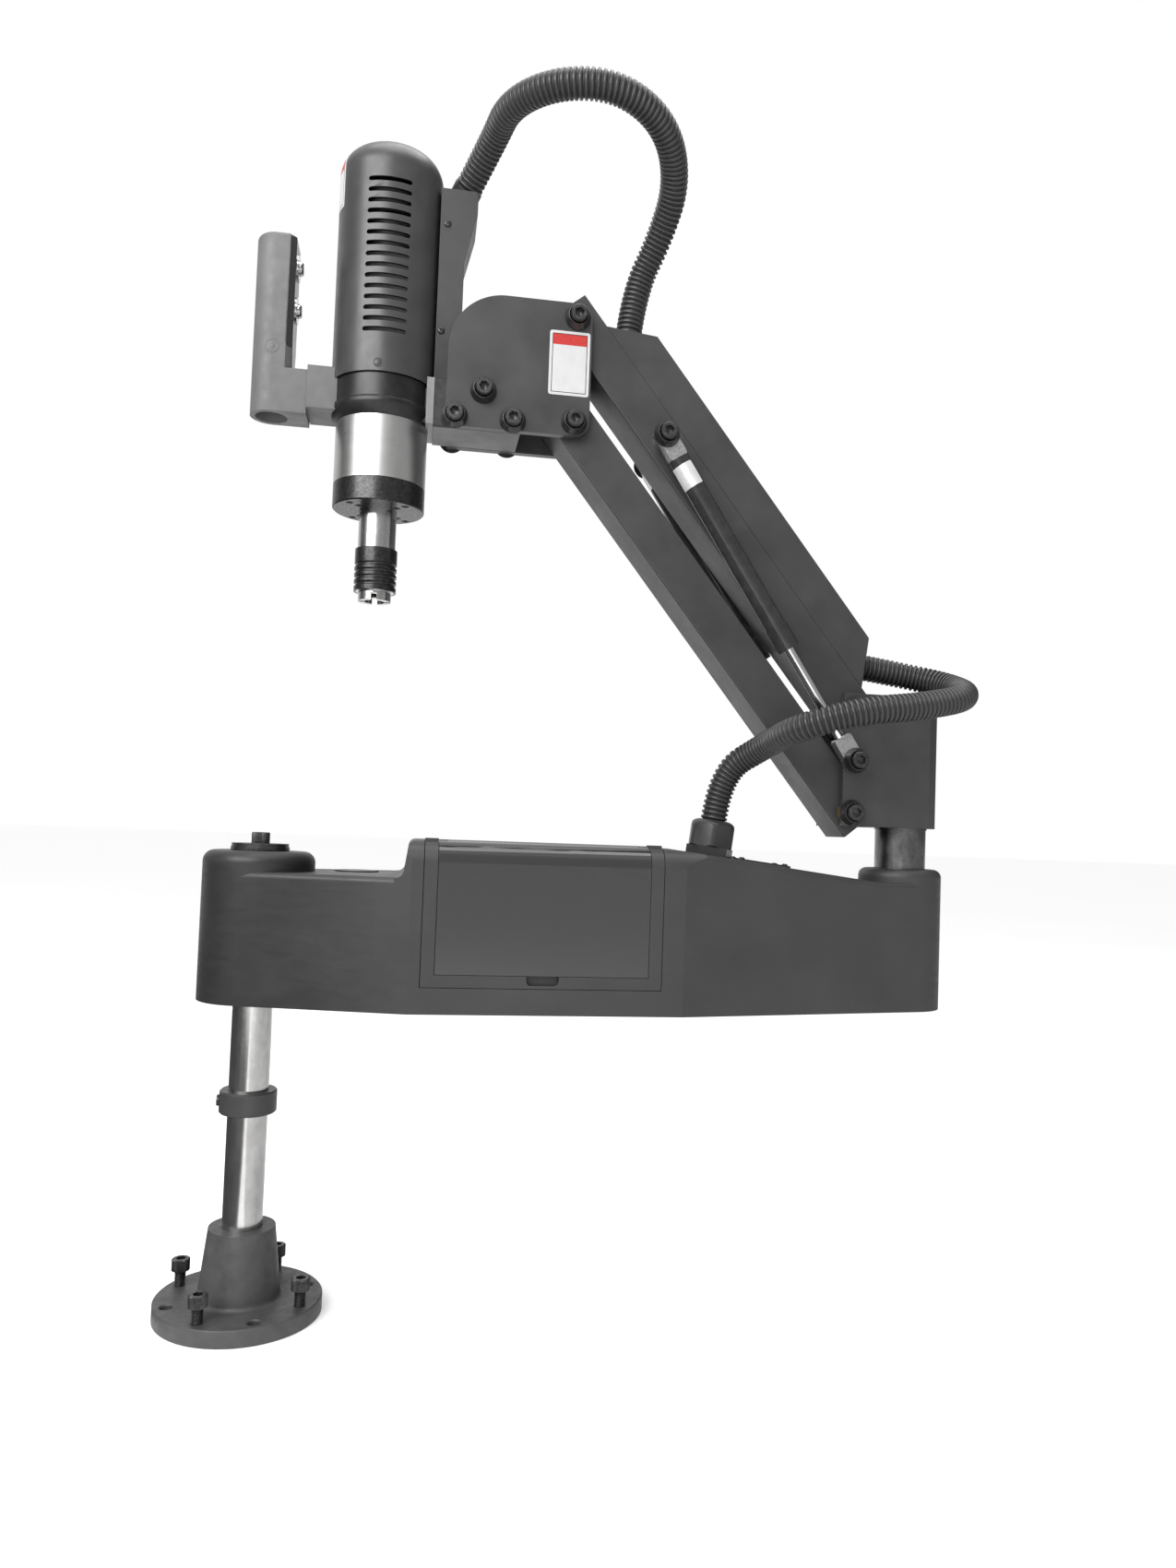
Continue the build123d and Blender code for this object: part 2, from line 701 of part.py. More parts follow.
def rolled_section(outer_y, outer_z, radius, rear_y, bottom):
    """Section in Y and Z whose front top corner is rolled over with the given radius."""
    with BuildLine() as section:
        Polyline((rear_y, bottom), (outer_y, bottom), (outer_y, outer_z - radius))
        RadiusArc((outer_y, outer_z - radius), (outer_y + radius, outer_z), radius)
        Polyline((outer_y + radius, outer_z), (rear_y, outer_z), (rear_y, bottom))
    make_face(section.edges())


with BuildPart() as lid_frame:
    with BuildSketch(Plane.YZ.offset(frame_left_x + frame_fit)):
        rolled_section(-box_half_width, high_deck_z, lid_round, frame_back_y, frame_bottom_z + frame_fit)
    extrude(amount=frame_right_x - frame_left_x - 2 * frame_fit)
    slab(lid_left_x, lid_right_x, -box_half_width - 1, bay_back_y,
         lid_bottom_z, high_deck_z - bay_top_wall, Mode.SUBTRACT)
    slab(lid_left_x, lid_right_x, -box_half_width - 1, bay_top_wall_y,
         high_deck_z - bay_top_wall - 1, high_deck_z + 1, Mode.SUBTRACT)
    for left in (frame_left_x + frame_fit, lid_right_x):
        slab(left, left + frame_strip - frame_fit, hinge_ear_front_y, hinge_ear_rear_y,
             high_deck_z - 1, high_deck_z + hinge_ear_height)
    notch_mid_x = (lid_left_x + lid_right_x) / 2
    slab(notch_mid_x - notch_width / 2, notch_mid_x + notch_width / 2,
         -box_half_width, -box_half_width + notch_sink,
         lid_bottom_z - notch_depth, lid_bottom_z, Mode.SUBTRACT)
    notch_corners = lid_frame.edges().filter_by(Axis.Y).filter_by(
        lambda e: abs(e.center().Z - lid_bottom_z + notch_depth) < 0.01)
    fillet(notch_corners, notch_round)
    rod_x(hinge_y, hinge_z, hinge_pin_dia / 2, lid_left_x - hinge_pin_grip,
          lid_right_x + hinge_pin_grip, Mode.SUBTRACT)

with BuildPart() as control_lid:
    with BuildSketch(Plane.YZ.offset(lid_left_x + lid_fit)) as lid_section:
        rolled_section(-box_half_width, high_deck_z, lid_round, lid_rear_y, lid_bottom_z + lid_fit)
        with BuildLine():
            inner_y = -box_half_width + lid_thickness
            inner_z = high_deck_z - lid_thickness
            roll = lid_round - lid_thickness
            Polyline((lid_rear_y + 1, lid_bottom_z), (inner_y, lid_bottom_z), (inner_y, inner_z - roll))
            RadiusArc((inner_y, inner_z - roll), (inner_y + roll, inner_z), roll)
            Polyline((inner_y + roll, inner_z), (lid_rear_y + 1, inner_z), (lid_rear_y + 1, lid_bottom_z))
        make_face(mode=Mode.SUBTRACT)
    extrude(amount=lid_right_x - lid_left_x - 2 * lid_fit)
    barrel_spans = ((lid_left_x + lid_fit, lid_left_x + lid_fit + hinge_barrel_length),
                    (lid_right_x - lid_fit - hinge_barrel_length, lid_right_x - lid_fit))
    for start, end in barrel_spans:
        rod_x(hinge_y, hinge_z, hinge_barrel_dia / 2, start, end)
        slab(start, end, lid_rear_y - 1, hinge_y, high_deck_z - lid_thickness, high_deck_z)
        rod_x(hinge_y, hinge_z, hinge_pin_dia / 2 + running_clearance, start, end, Mode.SUBTRACT)

with BuildPart() as lid_hinge_pins:
    rod_x(hinge_y, hinge_z, hinge_pin_dia / 2, lid_left_x - hinge_pin_grip, lid_left_x + hinge_barrel_length)
    rod_x(hinge_y, hinge_z, hinge_pin_dia / 2, lid_right_x - hinge_barrel_length, lid_right_x + hinge_pin_grip)

with BuildPart() as touch_screen:
    slab(lid_left_x + screen_margin, lid_right_x - screen_margin, bay_back_y - screen_thickness, bay_back_y,
         lid_bottom_z + screen_margin, high_deck_z - bay_top_wall - screen_margin)
    slab(lid_left_x + screen_margin + screen_rim, lid_right_x - screen_margin - screen_rim,
         bay_back_y - screen_thickness, bay_back_y - screen_thickness + screen_recess,
         lid_bottom_z + screen_margin + screen_rim, high_deck_z - bay_top_wall - screen_margin - screen_rim,
         Mode.SUBTRACT)

with BuildPart() as servo_drive:
    slab(drive_left_x, drive_left_x + drive_length, drive_front_y, drive_rear_y, rail_top_z, rail_top_z + drive_height)
    fin_count = int(drive_length / drive_fin_pitch)
    for fin in range(fin_count):
        slot_x = drive_left_x + (fin + 0.25) * drive_fin_pitch
        slab(slot_x, slot_x + drive_fin_pitch / 2, drive_rear_y - drive_fin_depth, drive_rear_y,
             rail_top_z + drive_fin_depth, rail_top_z + drive_height, Mode.SUBTRACT)

# ------------------------------------------------------------------ deck fittings
with BuildPart() as cable_gland:
    with BuildSketch(gland_plane):
        hexagon(gland_hex)
    extrude(amount=gland_hex_height)
    with BuildSketch(gland_plane.offset(-gland_thread_length)):
        Circle(gland_thread_dia / 2)
    extrude(amount=gland_thread_length)
    with BuildSketch(gland_plane.offset(-gland_thread_length)):
        Circle(gland_bore_dia / 2)
    extrude(amount=gland_thread_length + gland_hex_height, mode=Mode.SUBTRACT)
    with BuildSketch(gland_plane.offset(-box_wall - gland_locknut_height - frame_fit)):
        hexagon(gland_locknut_hex)
        Circle(gland_thread_dia / 2 + tapped_clearance, mode=Mode.SUBTRACT)
    extrude(amount=gland_locknut_height)

gland_nut_top = gland_hex_height + gland_nut_height
with BuildPart() as gland_nut:
    with BuildSketch(gland_plane.offset(gland_hex_height)):
        RegularPolygon(gland_nut_dia / 2, 12)
    extrude(amount=gland_nut_height)
    with BuildSketch(gland_plane.offset(gland_nut_top)):
        Circle(gland_nut_dia / 2 - 1.5)
    with BuildSketch(gland_plane.offset(gland_nut_top + gland_dome_height)):
        Circle(gland_mouth_dia / 2)
    loft()
    with BuildSketch(gland_plane.offset(gland_hex_height)):
        Circle(gland_bore_dia / 2)
    extrude(amount=gland_nut_height + gland_dome_height, mode=Mode.SUBTRACT)

with BuildPart() as deck_plug:
    rod_z(deck_plug_x, deck_plug_y, deck_plug_dia / 2, low_deck_z, low_deck_z + deck_plug_proud)
    rod_z(deck_plug_x, deck_plug_y, deck_plug_stem_dia / 2, low_deck_z - deck_plug_stem, low_deck_z)

with BuildPart() as slope_plate:
    with BuildSketch(slope_plate_plane):
        RectangleRounded(slope_plate_length, slope_plate_width, slope_plate_thickness)
    extrude(amount=slope_plate_thickness)
    with BuildSketch(slope_plate_plane):
        Circle(slope_plate_boss_dia / 2)
    extrude(amount=-2 * box_wall)


# ================================================================== pillar and rear bracket
bracket_inner_half = bracket_half_width - plate_thickness
pillar_bolt_radius = pillar_bolt_dia / 2
with BuildPart() as pillar:
    rod_z(column_to_pillar, 0, pillar_dia / 2, pillar_floor_z + 0.1, pillar_top_z)
    rod_z(column_to_pillar, 0, pillar_bolt_radius, pillar_top_z - pillar_bolt_reach, pillar_top_z, Mode.SUBTRACT)

with BuildPart() as pillar_washer:
    rod_z(column_to_pillar, 0, pillar_dia / 2 + pillar_washer_rim, pillar_top_z, bracket_bottom_z)
    rod_z(column_to_pillar, 0, pillar_bolt_radius + bolt_hole_clearance, pillar_top_z, bracket_bottom_z, Mode.SUBTRACT)


def bent_back(inset, front_x):
    """Plan of the rear bracket's bent sheet, drawn in from its outside by inset."""
    half = bracket_half_width - inset
    back = bracket_back_x - inset
    corner = bracket_chamfer - inset * (2 - math.sqrt(2))
    Polygon((front_x, -half), (back - corner, -half), (back, -half + corner),
            (back, half - corner), (back - corner, half), (front_x, half), align=None)


with BuildPart() as rear_bracket:
    with BuildSketch(Plane.XY.offset(bracket_bottom_z)):
        bent_back(0, bracket_front_x)
    extrude(amount=bracket_top_z - bracket_bottom_z)
    with BuildSketch(Plane.XY.offset(bracket_bottom_z)):
        bent_back(plate_thickness, bracket_front_x - 1)
    extrude(amount=bracket_top_z - bracket_bottom_z, mode=Mode.SUBTRACT)
    slab(bracket_floor_x, bracket_back_x - plate_thickness - bracket_chamfer / 2,
         -bracket_inner_half, bracket_inner_half, bracket_bottom_z, bracket_bottom_z + bracket_floor)
    rod_z(column_to_pillar, 0, pillar_bolt_radius + bolt_hole_clearance,
          bracket_bottom_z, bracket_bottom_z + bracket_floor, Mode.SUBTRACT)
    for point in (upper_rear, lower_rear):
        rod_y(point.X, point.Z, plain_hole, -bracket_half_width, bracket_half_width, Mode.SUBTRACT)
    rod_y(spring_lower.X, spring_lower.Z, bolt_radius, -bracket_half_width, bracket_half_width, Mode.SUBTRACT)


def pivot_shaft(point):
    """The turned shaft between two plates, tapped at both ends."""
    rod_y(point.X, point.Z, shaft_radius, -inner_half, inner_half)
    rod_y(point.X, point.Z, bolt_radius, -inner_half, -inner_half + bolt_reach, Mode.SUBTRACT)
    rod_y(point.X, point.Z, bolt_radius, inner_half - bolt_reach, inner_half, Mode.SUBTRACT)


with BuildPart() as rear_pivot_shafts:
    pivot_shaft(upper_rear)
    pivot_shaft(lower_rear)

shaft_bolt_reach = washer_thickness + plate_thickness + bolt_reach - 1
eye_outer_half = spring_centre_y + eye_width / 2
bracket_spring_reach = washer_thickness + eye_outer_half - bracket_half_width + plate_thickness
arm_spring_reach = washer_thickness + eye_outer_half - arm_half + arm_wall

with BuildPart() as rear_bolts:
    for point in (upper_rear, lower_rear):
        for face in side_planes(point.X, point.Z, bracket_half_width):
            washer(face)
            socket_bolt(face.offset(washer_thickness), shaft_bolt_reach)
    for face in side_planes(spring_lower.X, spring_lower.Z, eye_outer_half):
        washer(face)
        socket_bolt(face.offset(washer_thickness), bracket_spring_reach)
    socket_bolt(Plane(origin=(column_to_pillar, 0, bracket_bottom_z + bracket_floor)),
                bracket_bottom_z + bracket_floor - pillar_top_z + pillar_bolt_reach - 1,
                pillar_bolt_dia, pillar_bolt_head_dia, pillar_bolt_head_height)


# ================================================================== arms
def arm_channel(plane, below, above):
    """A square-ended channel, closed below, between and beyond its two pivots."""
    start = -arm_overhang
    end = arm_length + arm_overhang
    with BuildSketch(plane) as solid:
        Polygon((start, -below), (end, -below), (end, above), (start, above), align=None)
    extrude(solid.sketch, amount=arm_half, both=True)
    long_edges = edges().filter_by(lambda e: abs(abs(e.tangent_at(0.5).dot(plane.x_dir)) - 1) < 0.001)
    fillet(long_edges.filter_by(lambda e: plane.to_local_coords(e.center()).Y < 0), arm_edge)
    chamfer(long_edges.filter_by(lambda e: plane.to_local_coords(e.center()).Y > 0), seam_chamfer)
    with BuildSketch(plane) as hollow:
        Polygon((start - 1, -below + arm_wall), (end + 1, -below + arm_wall),
                (end + 1, above + 1), (start - 1, above + 1), align=None)
    extrude(hollow.sketch, amount=arm_half - arm_wall, both=True, mode=Mode.SUBTRACT)


def arm_bushes(points):
    """Flanged-length bushes that turn on the pivot shafts."""
    for point in points:
        rod_y(point.X, point.Z, bush_dia / 2, -arm_half - bush_proud, arm_half + bush_proud)
        rod_y(point.X, point.Z, shaft_radius + running_clearance,
              -arm_half - bush_proud, arm_half + bush_proud, Mode.SUBTRACT)


with BuildPart() as upper_arm:
    arm_channel(upper_plane, upper_arm_below, upper_arm_above)
    for point in (upper_rear, upper_front):
        rod_y(point.X, point.Z, bush_dia / 2, -arm_half, arm_half, Mode.SUBTRACT)
    rod_y(spring_upper.X, spring_upper.Z, bolt_radius, -arm_half, arm_half, Mode.SUBTRACT)

with BuildPart() as lower_arm:
    arm_channel(lower_plane, lower_arm_below, lower_arm_above)
    for point in (lower_rear, lower_front):
        rod_y(point.X, point.Z, bush_dia / 2, -arm_half, arm_half, Mode.SUBTRACT)

with BuildPart() as upper_arm_bushes:
    arm_bushes((upper_rear, upper_front))

with BuildPart() as lower_arm_bushes:
    arm_bushes((lower_rear, lower_front))

with BuildPart() as spring_arm_bolts:
    for face in side_planes(spring_upper.X, spring_upper.Z, eye_outer_half):
        washer(face)
        socket_bolt(face.offset(washer_thickness), arm_spring_reach)

# ------------------------------------------------------------------ cable cover
cover_top = upper_arm_above + cover_rise


def cover_side(inset):
    """Side view of the cable cover, drawn in by inset at its top and its two sloping ends."""
    front_lean = (cover_front - cover_front_top) / cover_rise
    rear_lean = (cover_rear_top - cover_rear) / cover_rise
    top = cover_top - inset
    base = upper_arm_above if inset == 0 else upper_arm_above - 1
    front = cover_front - inset * math.hypot(1, front_lean)
    rear = cover_rear + inset * math.hypot(1, rear_lean)
    rise_top = top - upper_arm_above
    rise_base = base - upper_arm_above
    Polygon((rear + rear_lean * rise_base, base), (front - front_lean * rise_base, base),
            (front - front_lean * rise_top, top), (rear + rear_lean * rise_top, top), align=None)


def cover_end_plane(base_along, top_along):
    """The plane on one sloping end of the cover, at the middle of its height, facing outwards."""
    base = upper_plane.from_local_coords(Vector(base_along, upper_arm_above, 0))
    top = upper_plane.from_local_coords(Vector(top_along, cover_top, 0))
    normal = Vector(0, 1, 0).cross(top - base).normalized()
    outward = upper_plane.x_dir * (1 if base_along > top_along else -1)
    if normal.dot(outward) < 0:
        normal = -normal
    return Plane(origin=(base + top) / 2, x_dir=(0, 1, 0), z_dir=normal)


cover_front_plane = cover_end_plane(cover_front, cover_front_top)
cover_rear_plane = cover_end_plane(cover_rear, cover_rear_top)
cover_screw_plane = upper_plane.offset(arm_half)

with BuildPart() as cable_cover:
    with BuildSketch(upper_plane):
        cover_side(0)
    extrude(amount=arm_half, both=True)
    foot_edges = cable_cover.edges().filter_by(
        lambda e: abs(abs(e.tangent_at(0.5).dot(upper_plane.x_dir)) - 1) < 0.001
        and abs(upper_plane.to_local_coords(e.center()).Y - upper_arm_above) < 0.01)
    chamfer(foot_edges, seam_chamfer)
    with BuildSketch(upper_plane):
        cover_side(cover_sheet)
    extrude(amount=arm_half - cover_sheet, both=True, mode=Mode.SUBTRACT)
    # blocks inside the cover's mouth: the far ones take the screws, the near ones stiffen the sheet
    for side in (-1, 1):
        for along in cover_screw_along:
            with BuildSketch(upper_plane.offset(side * (arm_half - cover_sheet - cover_flange / 2))):
                with Locations((along, upper_arm_above + cover_flange / 2)):
                    Rectangle(3 * cover_flange, cover_flange)
            extrude(amount=cover_flange / 2, both=True)
    for along in cover_screw_along:
        with BuildSketch(cover_screw_plane):
            with Locations((along, upper_arm_above + cover_flange / 2)):
                Circle(cover_screw_dia / 2)
        extrude(amount=-cover_flange, mode=Mode.SUBTRACT)
    for mouth in (cover_front_plane, cover_rear_plane):
        with BuildSketch(mouth):
            Circle(gland_bore_dia / 2)
        extrude(amount=-2 * cover_sheet, mode=Mode.SUBTRACT)

with BuildPart() as cover_screws:
    for along in cover_screw_along:
        with BuildSketch(cover_screw_plane):
            with Locations((along, upper_arm_above + cover_flange / 2)):
                Circle(cover_screw_head_dia / 2)
        extrude(amount=cover_screw_head)
        with BuildSketch(cover_screw_plane):
            with Locations((along, upper_arm_above + cover_flange / 2)):
                Circle(cover_screw_dia / 2 - tapped_clearance)
        extrude(amount=1 - cover_flange)


# ================================================================== gas springs
spring_run = (spring_lower - spring_upper).normalized()
spring_span = (spring_lower - spring_upper).length


def spring_plane(side, along):
    """Cross-section plane of one spring, along its own line from the upper bolt."""
    centre = spring_upper + spring_run * along + Vector(0, side * spring_centre_y, 0)
    return Plane(origin=centre, x_dir=(0, 1, 0), z_dir=spring_run)


def spring_eye(side, point, along_dir, length):
    """A square steel eye with the bolt through it; its neck reaches length along the spring."""
    middle = point + Vector(0, side * spring_centre_y, 0)
    eye = Plane(origin=middle, x_dir=along_dir, z_dir=(0, 1, 0))
    with BuildSketch(eye) as outline:
        with Locations(((length - eye_bolt_offset) / 2, 0)):
            RectangleRounded(length + eye_bolt_offset, eye_height, 3)
        Circle(plain_hole, mode=Mode.SUBTRACT)
    extrude(outline.sketch, amount=eye_width / 2, both=True)


def spring_spacers(point, half_width, side):
    """The collar that holds an eye clear of the part that it is bolted to."""
    inner = side * half_width
    outer = side * (spring_centre_y - eye_width / 2)
    low, high = min(inner, outer), max(inner, outer)
    rod_y(point.X, point.Z, bolt_head_dia / 2, low, high)
    rod_y(point.X, point.Z, plain_hole, low, high, Mode.SUBTRACT)


body_end = spring_body_start + spring_body_length
with BuildPart() as spring_cylinders:
    for side in (-1, 1):
        with BuildSketch(spring_plane(side, spring_body_start)):
            Circle(spring_body_dia / 2)
        extrude(amount=spring_body_length)
        with BuildSketch(spring_plane(side, body_end - spring_collar_length)):
            Circle(spring_collar_dia / 2)
        extrude(amount=spring_collar_length)
        with BuildSketch(spring_plane(side, spring_body_start + 3 * spring_body_wall)):
            Circle(spring_body_dia / 2 - spring_body_wall)
        extrude(amount=spring_body_length - 6 * spring_body_wall, mode=Mode.SUBTRACT)
        with BuildSketch(spring_plane(side, body_end)):
            Circle(spring_mouth_dia / 2)
        extrude(amount=-6 * spring_body_wall, mode=Mode.SUBTRACT)

with BuildPart() as spring_cylinder_eyes:
    for side in (-1, 1):
        spring_eye(side, spring_upper, spring_run, spring_body_start)
        spring_spacers(spring_upper, arm_half, side)

with BuildPart() as spring_rods:
    rod_length = spring_span - rod_eye_length - body_end + spring_rod_inside
    for side in (-1, 1):
        with BuildSketch(spring_plane(side, spring_span - rod_eye_length)):
            Circle(spring_rod_dia / 2)
        extrude(amount=-rod_length)

with BuildPart() as spring_rod_eyes:
    for side in (-1, 1):
        spring_eye(side, spring_lower, -spring_run, rod_eye_length)
        spring_spacers(spring_lower, bracket_half_width, side)


# ================================================================== head bracket
head_plate_right_x = upper_front.X + head_plate_margin_right
head_plate_top_z = upper_front.Z + head_plate_margin_top
head_plate_bottom_z = lower_front.Z - head_plate_margin_bottom
head_plate_outer = inner_half + plate_thickness

saddle_floor_z = case_bottom_z - case_saddle_gap
with BuildPart() as head_plates:
    for start in (-head_plate_outer, inner_half):
        with BuildSketch(Plane.XZ.offset(-start - plate_thickness)) as plate:
            Polygon((head_plate_left_x, head_plate_bottom_z), (head_plate_right_x, head_plate_bottom_z),
                    (head_plate_right_x, head_plate_top_z), (head_plate_left_x, head_plate_top_z), align=None)
            by_x = plate.vertices().sort_by(Axis.X)
            fillet(by_x[:2].sort_by(Axis.Y)[-1], head_plate_round)
            fillet(plate.vertices().sort_by(Axis.Y)[:2].sort_by(Axis.X)[0], head_plate_corner)
            right = plate.vertices().filter_by(lambda v: abs(v.X - head_plate_right_x) < 0.01)
            fillet(right, head_plate_margin_bottom)
            for x, z in block_bolt_points:
                with Locations((x, z)):
                    Circle(plain_hole, mode=Mode.SUBTRACT)
            for point in (upper_front, lower_front):
                with Locations((point.X, point.Z)):
                    Circle(plain_hole, mode=Mode.SUBTRACT)
        extrude(amount=plate_thickness)

with BuildPart() as front_pivot_shafts:
    pivot_shaft(upper_front)
    pivot_shaft(lower_front)

with BuildPart() as head_block:
    slab(head_block_left_x, head_block_right_x, -inner_half, inner_half, head_plate_bottom_z, head_block_top_z)
    chamfer(head_block.edges().filter_by(Axis.X), 1)
    rod_z(head_x, 0, case_dia / 2 + case_saddle_gap, saddle_floor_z, head_block_top_z, Mode.SUBTRACT)
    for x, z in block_bolt_points:
        rod_y(x, z, bolt_radius, -inner_half, -inner_half + bolt_reach, Mode.SUBTRACT)
        rod_y(x, z, bolt_radius, inner_half - bolt_reach, inner_half, Mode.SUBTRACT)

with BuildPart() as head_bolts:
    points = [(x, z) for x, z in block_bolt_points]
    points += [(point.X, point.Z) for point in (upper_front, lower_front)]
    for x, z in points:
        for face in side_planes(x, z, head_plate_outer):
            washer(face)
            socket_bolt(face.offset(washer_thickness), shaft_bolt_reach)

with BuildPart() as mounting_plate:
    slab(head_block_left_x - mount_plate_thickness, head_block_left_x,
         -mount_plate_half_width, mount_plate_half_width, mount_plate_bottom_z, head_block_top_z)
    rod_z(head_x, 0, case_dia / 2 + case_saddle_gap, saddle_floor_z, head_block_top_z, Mode.SUBTRACT)

# ================================================================== tapping head
with BuildPart() as holder_ring:
    with BuildSketch(Plane.XZ):
        Polygon((head_x, ring_bottom_z), (head_x + reducer_dia / 2, ring_bottom_z),
                (head_x + ring_dia / 2, ring_taper_z), (head_x + ring_dia / 2, case_bottom_z - seam_gap),
                (head_x, case_bottom_z - seam_gap), align=None)
    revolve(axis=Axis((head_x, 0, 0), (0, 0, 1)))
    slab(head_x, head_block_left_x - mount_plate_thickness, -ring_lug_half_width, ring_lug_half_width,
         ring_lug_bottom_z, ring_lug_top_z)
    slab(head_block_left_x - mount_plate_thickness, head_x + ring_dia, -ring_dia, ring_dia,
         ring_bottom_z, case_bottom_z, Mode.SUBTRACT)
    rod_z(head_x, 0, reducer_neck_dia / 2, ring_bottom_z, case_bottom_z, Mode.SUBTRACT)

with BuildPart() as gear_reducer:
    rod_z(head_x, 0, reducer_dia / 2, reducer_bottom_z, ring_bottom_z)
    rod_z(head_x, 0, reducer_neck_dia / 2, ring_bottom_z, reducer_neck_top_z)
    rod_z(head_x, 0, spindle_dia / 2 + running_clearance, reducer_bottom_z, spindle_top_z, Mode.SUBTRACT)
    with Locations((head_x, 0, reducer_bottom_z)):
        for pcd in (outer_screw_pcd, inner_screw_pcd):
            with PolarLocations(pcd / 2, face_screw_count, start_angle=45):
                Cylinder(face_screw_dia / 2, 2 * face_screw_reach, mode=Mode.SUBTRACT)

with BuildPart() as end_ring:
    rod_z(head_x, 0, reducer_dia / 2, end_ring_bottom_z, reducer_bottom_z)
    chamfer(end_ring.edges().filter_by(GeomType.CIRCLE).sort_by(Axis.Z)[0], end_ring_edge)
    rod_z(head_x, 0, spindle_dia / 2 + running_clearance, end_ring_bottom_z, reducer_bottom_z, Mode.SUBTRACT)
    with Locations((head_x, 0, end_ring_bottom_z)):
        for pcd in (outer_screw_pcd, inner_screw_pcd):
            with PolarLocations(pcd / 2, face_screw_count, start_angle=45):
                Cylinder(face_screw_head_dia / 2, 2 * face_screw_head, mode=Mode.SUBTRACT)
                Cylinder(face_screw_dia / 2, 2 * (reducer_bottom_z - end_ring_bottom_z), mode=Mode.SUBTRACT)

with BuildPart() as servo_motor:
    with BuildSketch(Plane.XY.offset(reducer_neck_top_z)):
        with Locations((head_x, 0)):
            RectangleRounded(servo_width, servo_width, servo_edge)
    extrude(amount=servo_height)
    rod_z(head_x, 0, encoder_dia / 2, reducer_neck_top_z + servo_height,
          reducer_neck_top_z + servo_height + encoder_height)

with BuildPart() as case_inside:
    rod_z(head_x, 0, case_dia / 2 - case_wall, case_bottom_z, case_top_z - case_wall)
    fillet(case_inside.edges().filter_by(GeomType.CIRCLE).sort_by(Axis.Z)[-1], case_round - case_wall)

with BuildPart() as motor_case:
    rod_z(head_x, 0, case_dia / 2, case_bottom_z, case_top_z)
    fillet(motor_case.edges().filter_by(GeomType.CIRCLE).sort_by(Axis.Z)[-1], case_round)
    add(case_inside.part, mode=Mode.SUBTRACT)
    with BuildSketch(Plane.XZ) as vents:
        for vent in range(vent_count):
            with Locations((head_x, vent_first_z - vent * vent_pitch)):
                SlotOverall(vent_width, vent_height)
    extrude(amount=case_dia, both=True, mode=Mode.SUBTRACT)

# ------------------------------------------------------------------ wire box
wire_box_outline = (
    (wire_box_left_x, head_block_top_z), (wire_box_waist_x, head_block_top_z),
    (wire_box_waist_x, wire_box_waist_z), (wire_box_top_x, wire_box_bend_z),
    (wire_box_top_x, wire_box_top_z), (wire_box_left_x, wire_box_top_z))
with BuildPart() as wire_box:
    prism_y(wire_box_outline, -wire_box_half_width, wire_box_half_width)
    outer_corners = wire_box.edges().filter_by(Axis.Y).filter_by(lambda e: e.center().X > wire_box_left_x + 1)
    fillet(outer_corners.sort_by(Axis.Z)[-1], wire_box_corner)
    with BuildSketch(Plane.XZ):
        Polygon(*wire_box_outline, align=None)
        offset(amount=-wire_box_sheet, kind=Kind.INTERSECTION, mode=Mode.REPLACE)
    extrude(amount=wire_box_half_width - wire_box_sheet, both=True, mode=Mode.SUBTRACT)
    rod_z(head_x, 0, case_dia / 2 + case_saddle_gap, head_block_top_z, case_top_z, Mode.SUBTRACT)
    for x, z in wire_box_screw_points:
        rod_y(x, z, face_screw_dia / 2, -wire_box_half_width, wire_box_half_width, Mode.SUBTRACT)

with BuildPart() as head_screws:
    for pcd in (outer_screw_pcd, inner_screw_pcd):
        for turn in range(face_screw_count):
            angle = math.radians(45 + 360 / face_screw_count * turn)
            x = head_x + pcd / 2 * math.cos(angle)
            y = pcd / 2 * math.sin(angle)
            seat = Plane(origin=(x, y, end_ring_bottom_z + face_screw_head), z_dir=(0, 0, -1))
            reach = reducer_bottom_z - end_ring_bottom_z - face_screw_head + face_screw_reach - 1
            with BuildSketch(seat):
                Circle(face_screw_head_dia / 2 - tapped_clearance)
                hexagon(face_screw_dia * 0.75)
            extrude(amount=face_screw_head - 1)
            with BuildSketch(seat):
                Circle(face_screw_dia / 2 - tapped_clearance)
            extrude(amount=-reach)
    for x, z in wire_box_screw_points:
        for face in side_planes(x, z, wire_box_half_width):
            with BuildSketch(face):
                Circle(face_screw_head_dia / 2)
            extrude(amount=face_screw_head / 2)
            with BuildSketch(face):
                Circle(face_screw_dia / 2 - tapped_clearance)
            extrude(amount=-3 * wire_box_sheet)

# ================================================================== spindle and chuck
with BuildPart() as spindle:
    rod_z(head_x, 0, spindle_dia / 2, chuck_top_z, spindle_top_z)

with BuildPart() as chuck_body:
    rod_z(head_x, 0, spindle_dia / 2, sleeve_bottom_z, chuck_top_z)
    rod_z(head_x, 0, nose_dia / 2, nose_bottom_z, sleeve_bottom_z)
    rod_z(head_x, 0, chuck_bore_dia / 2, nose_bottom_z, nose_bottom_z + chuck_bore_length, Mode.SUBTRACT)
    slab(head_x - nose_dia, head_x + nose_dia, -nose_slot / 2, nose_slot / 2,
         nose_bottom_z, nose_bottom_z + nose_slot_depth, Mode.SUBTRACT)
    slab(head_x - nose_slot / 2, head_x + nose_slot / 2, -nose_dia, nose_dia,
         nose_bottom_z, nose_bottom_z + nose_slot_depth, Mode.SUBTRACT)

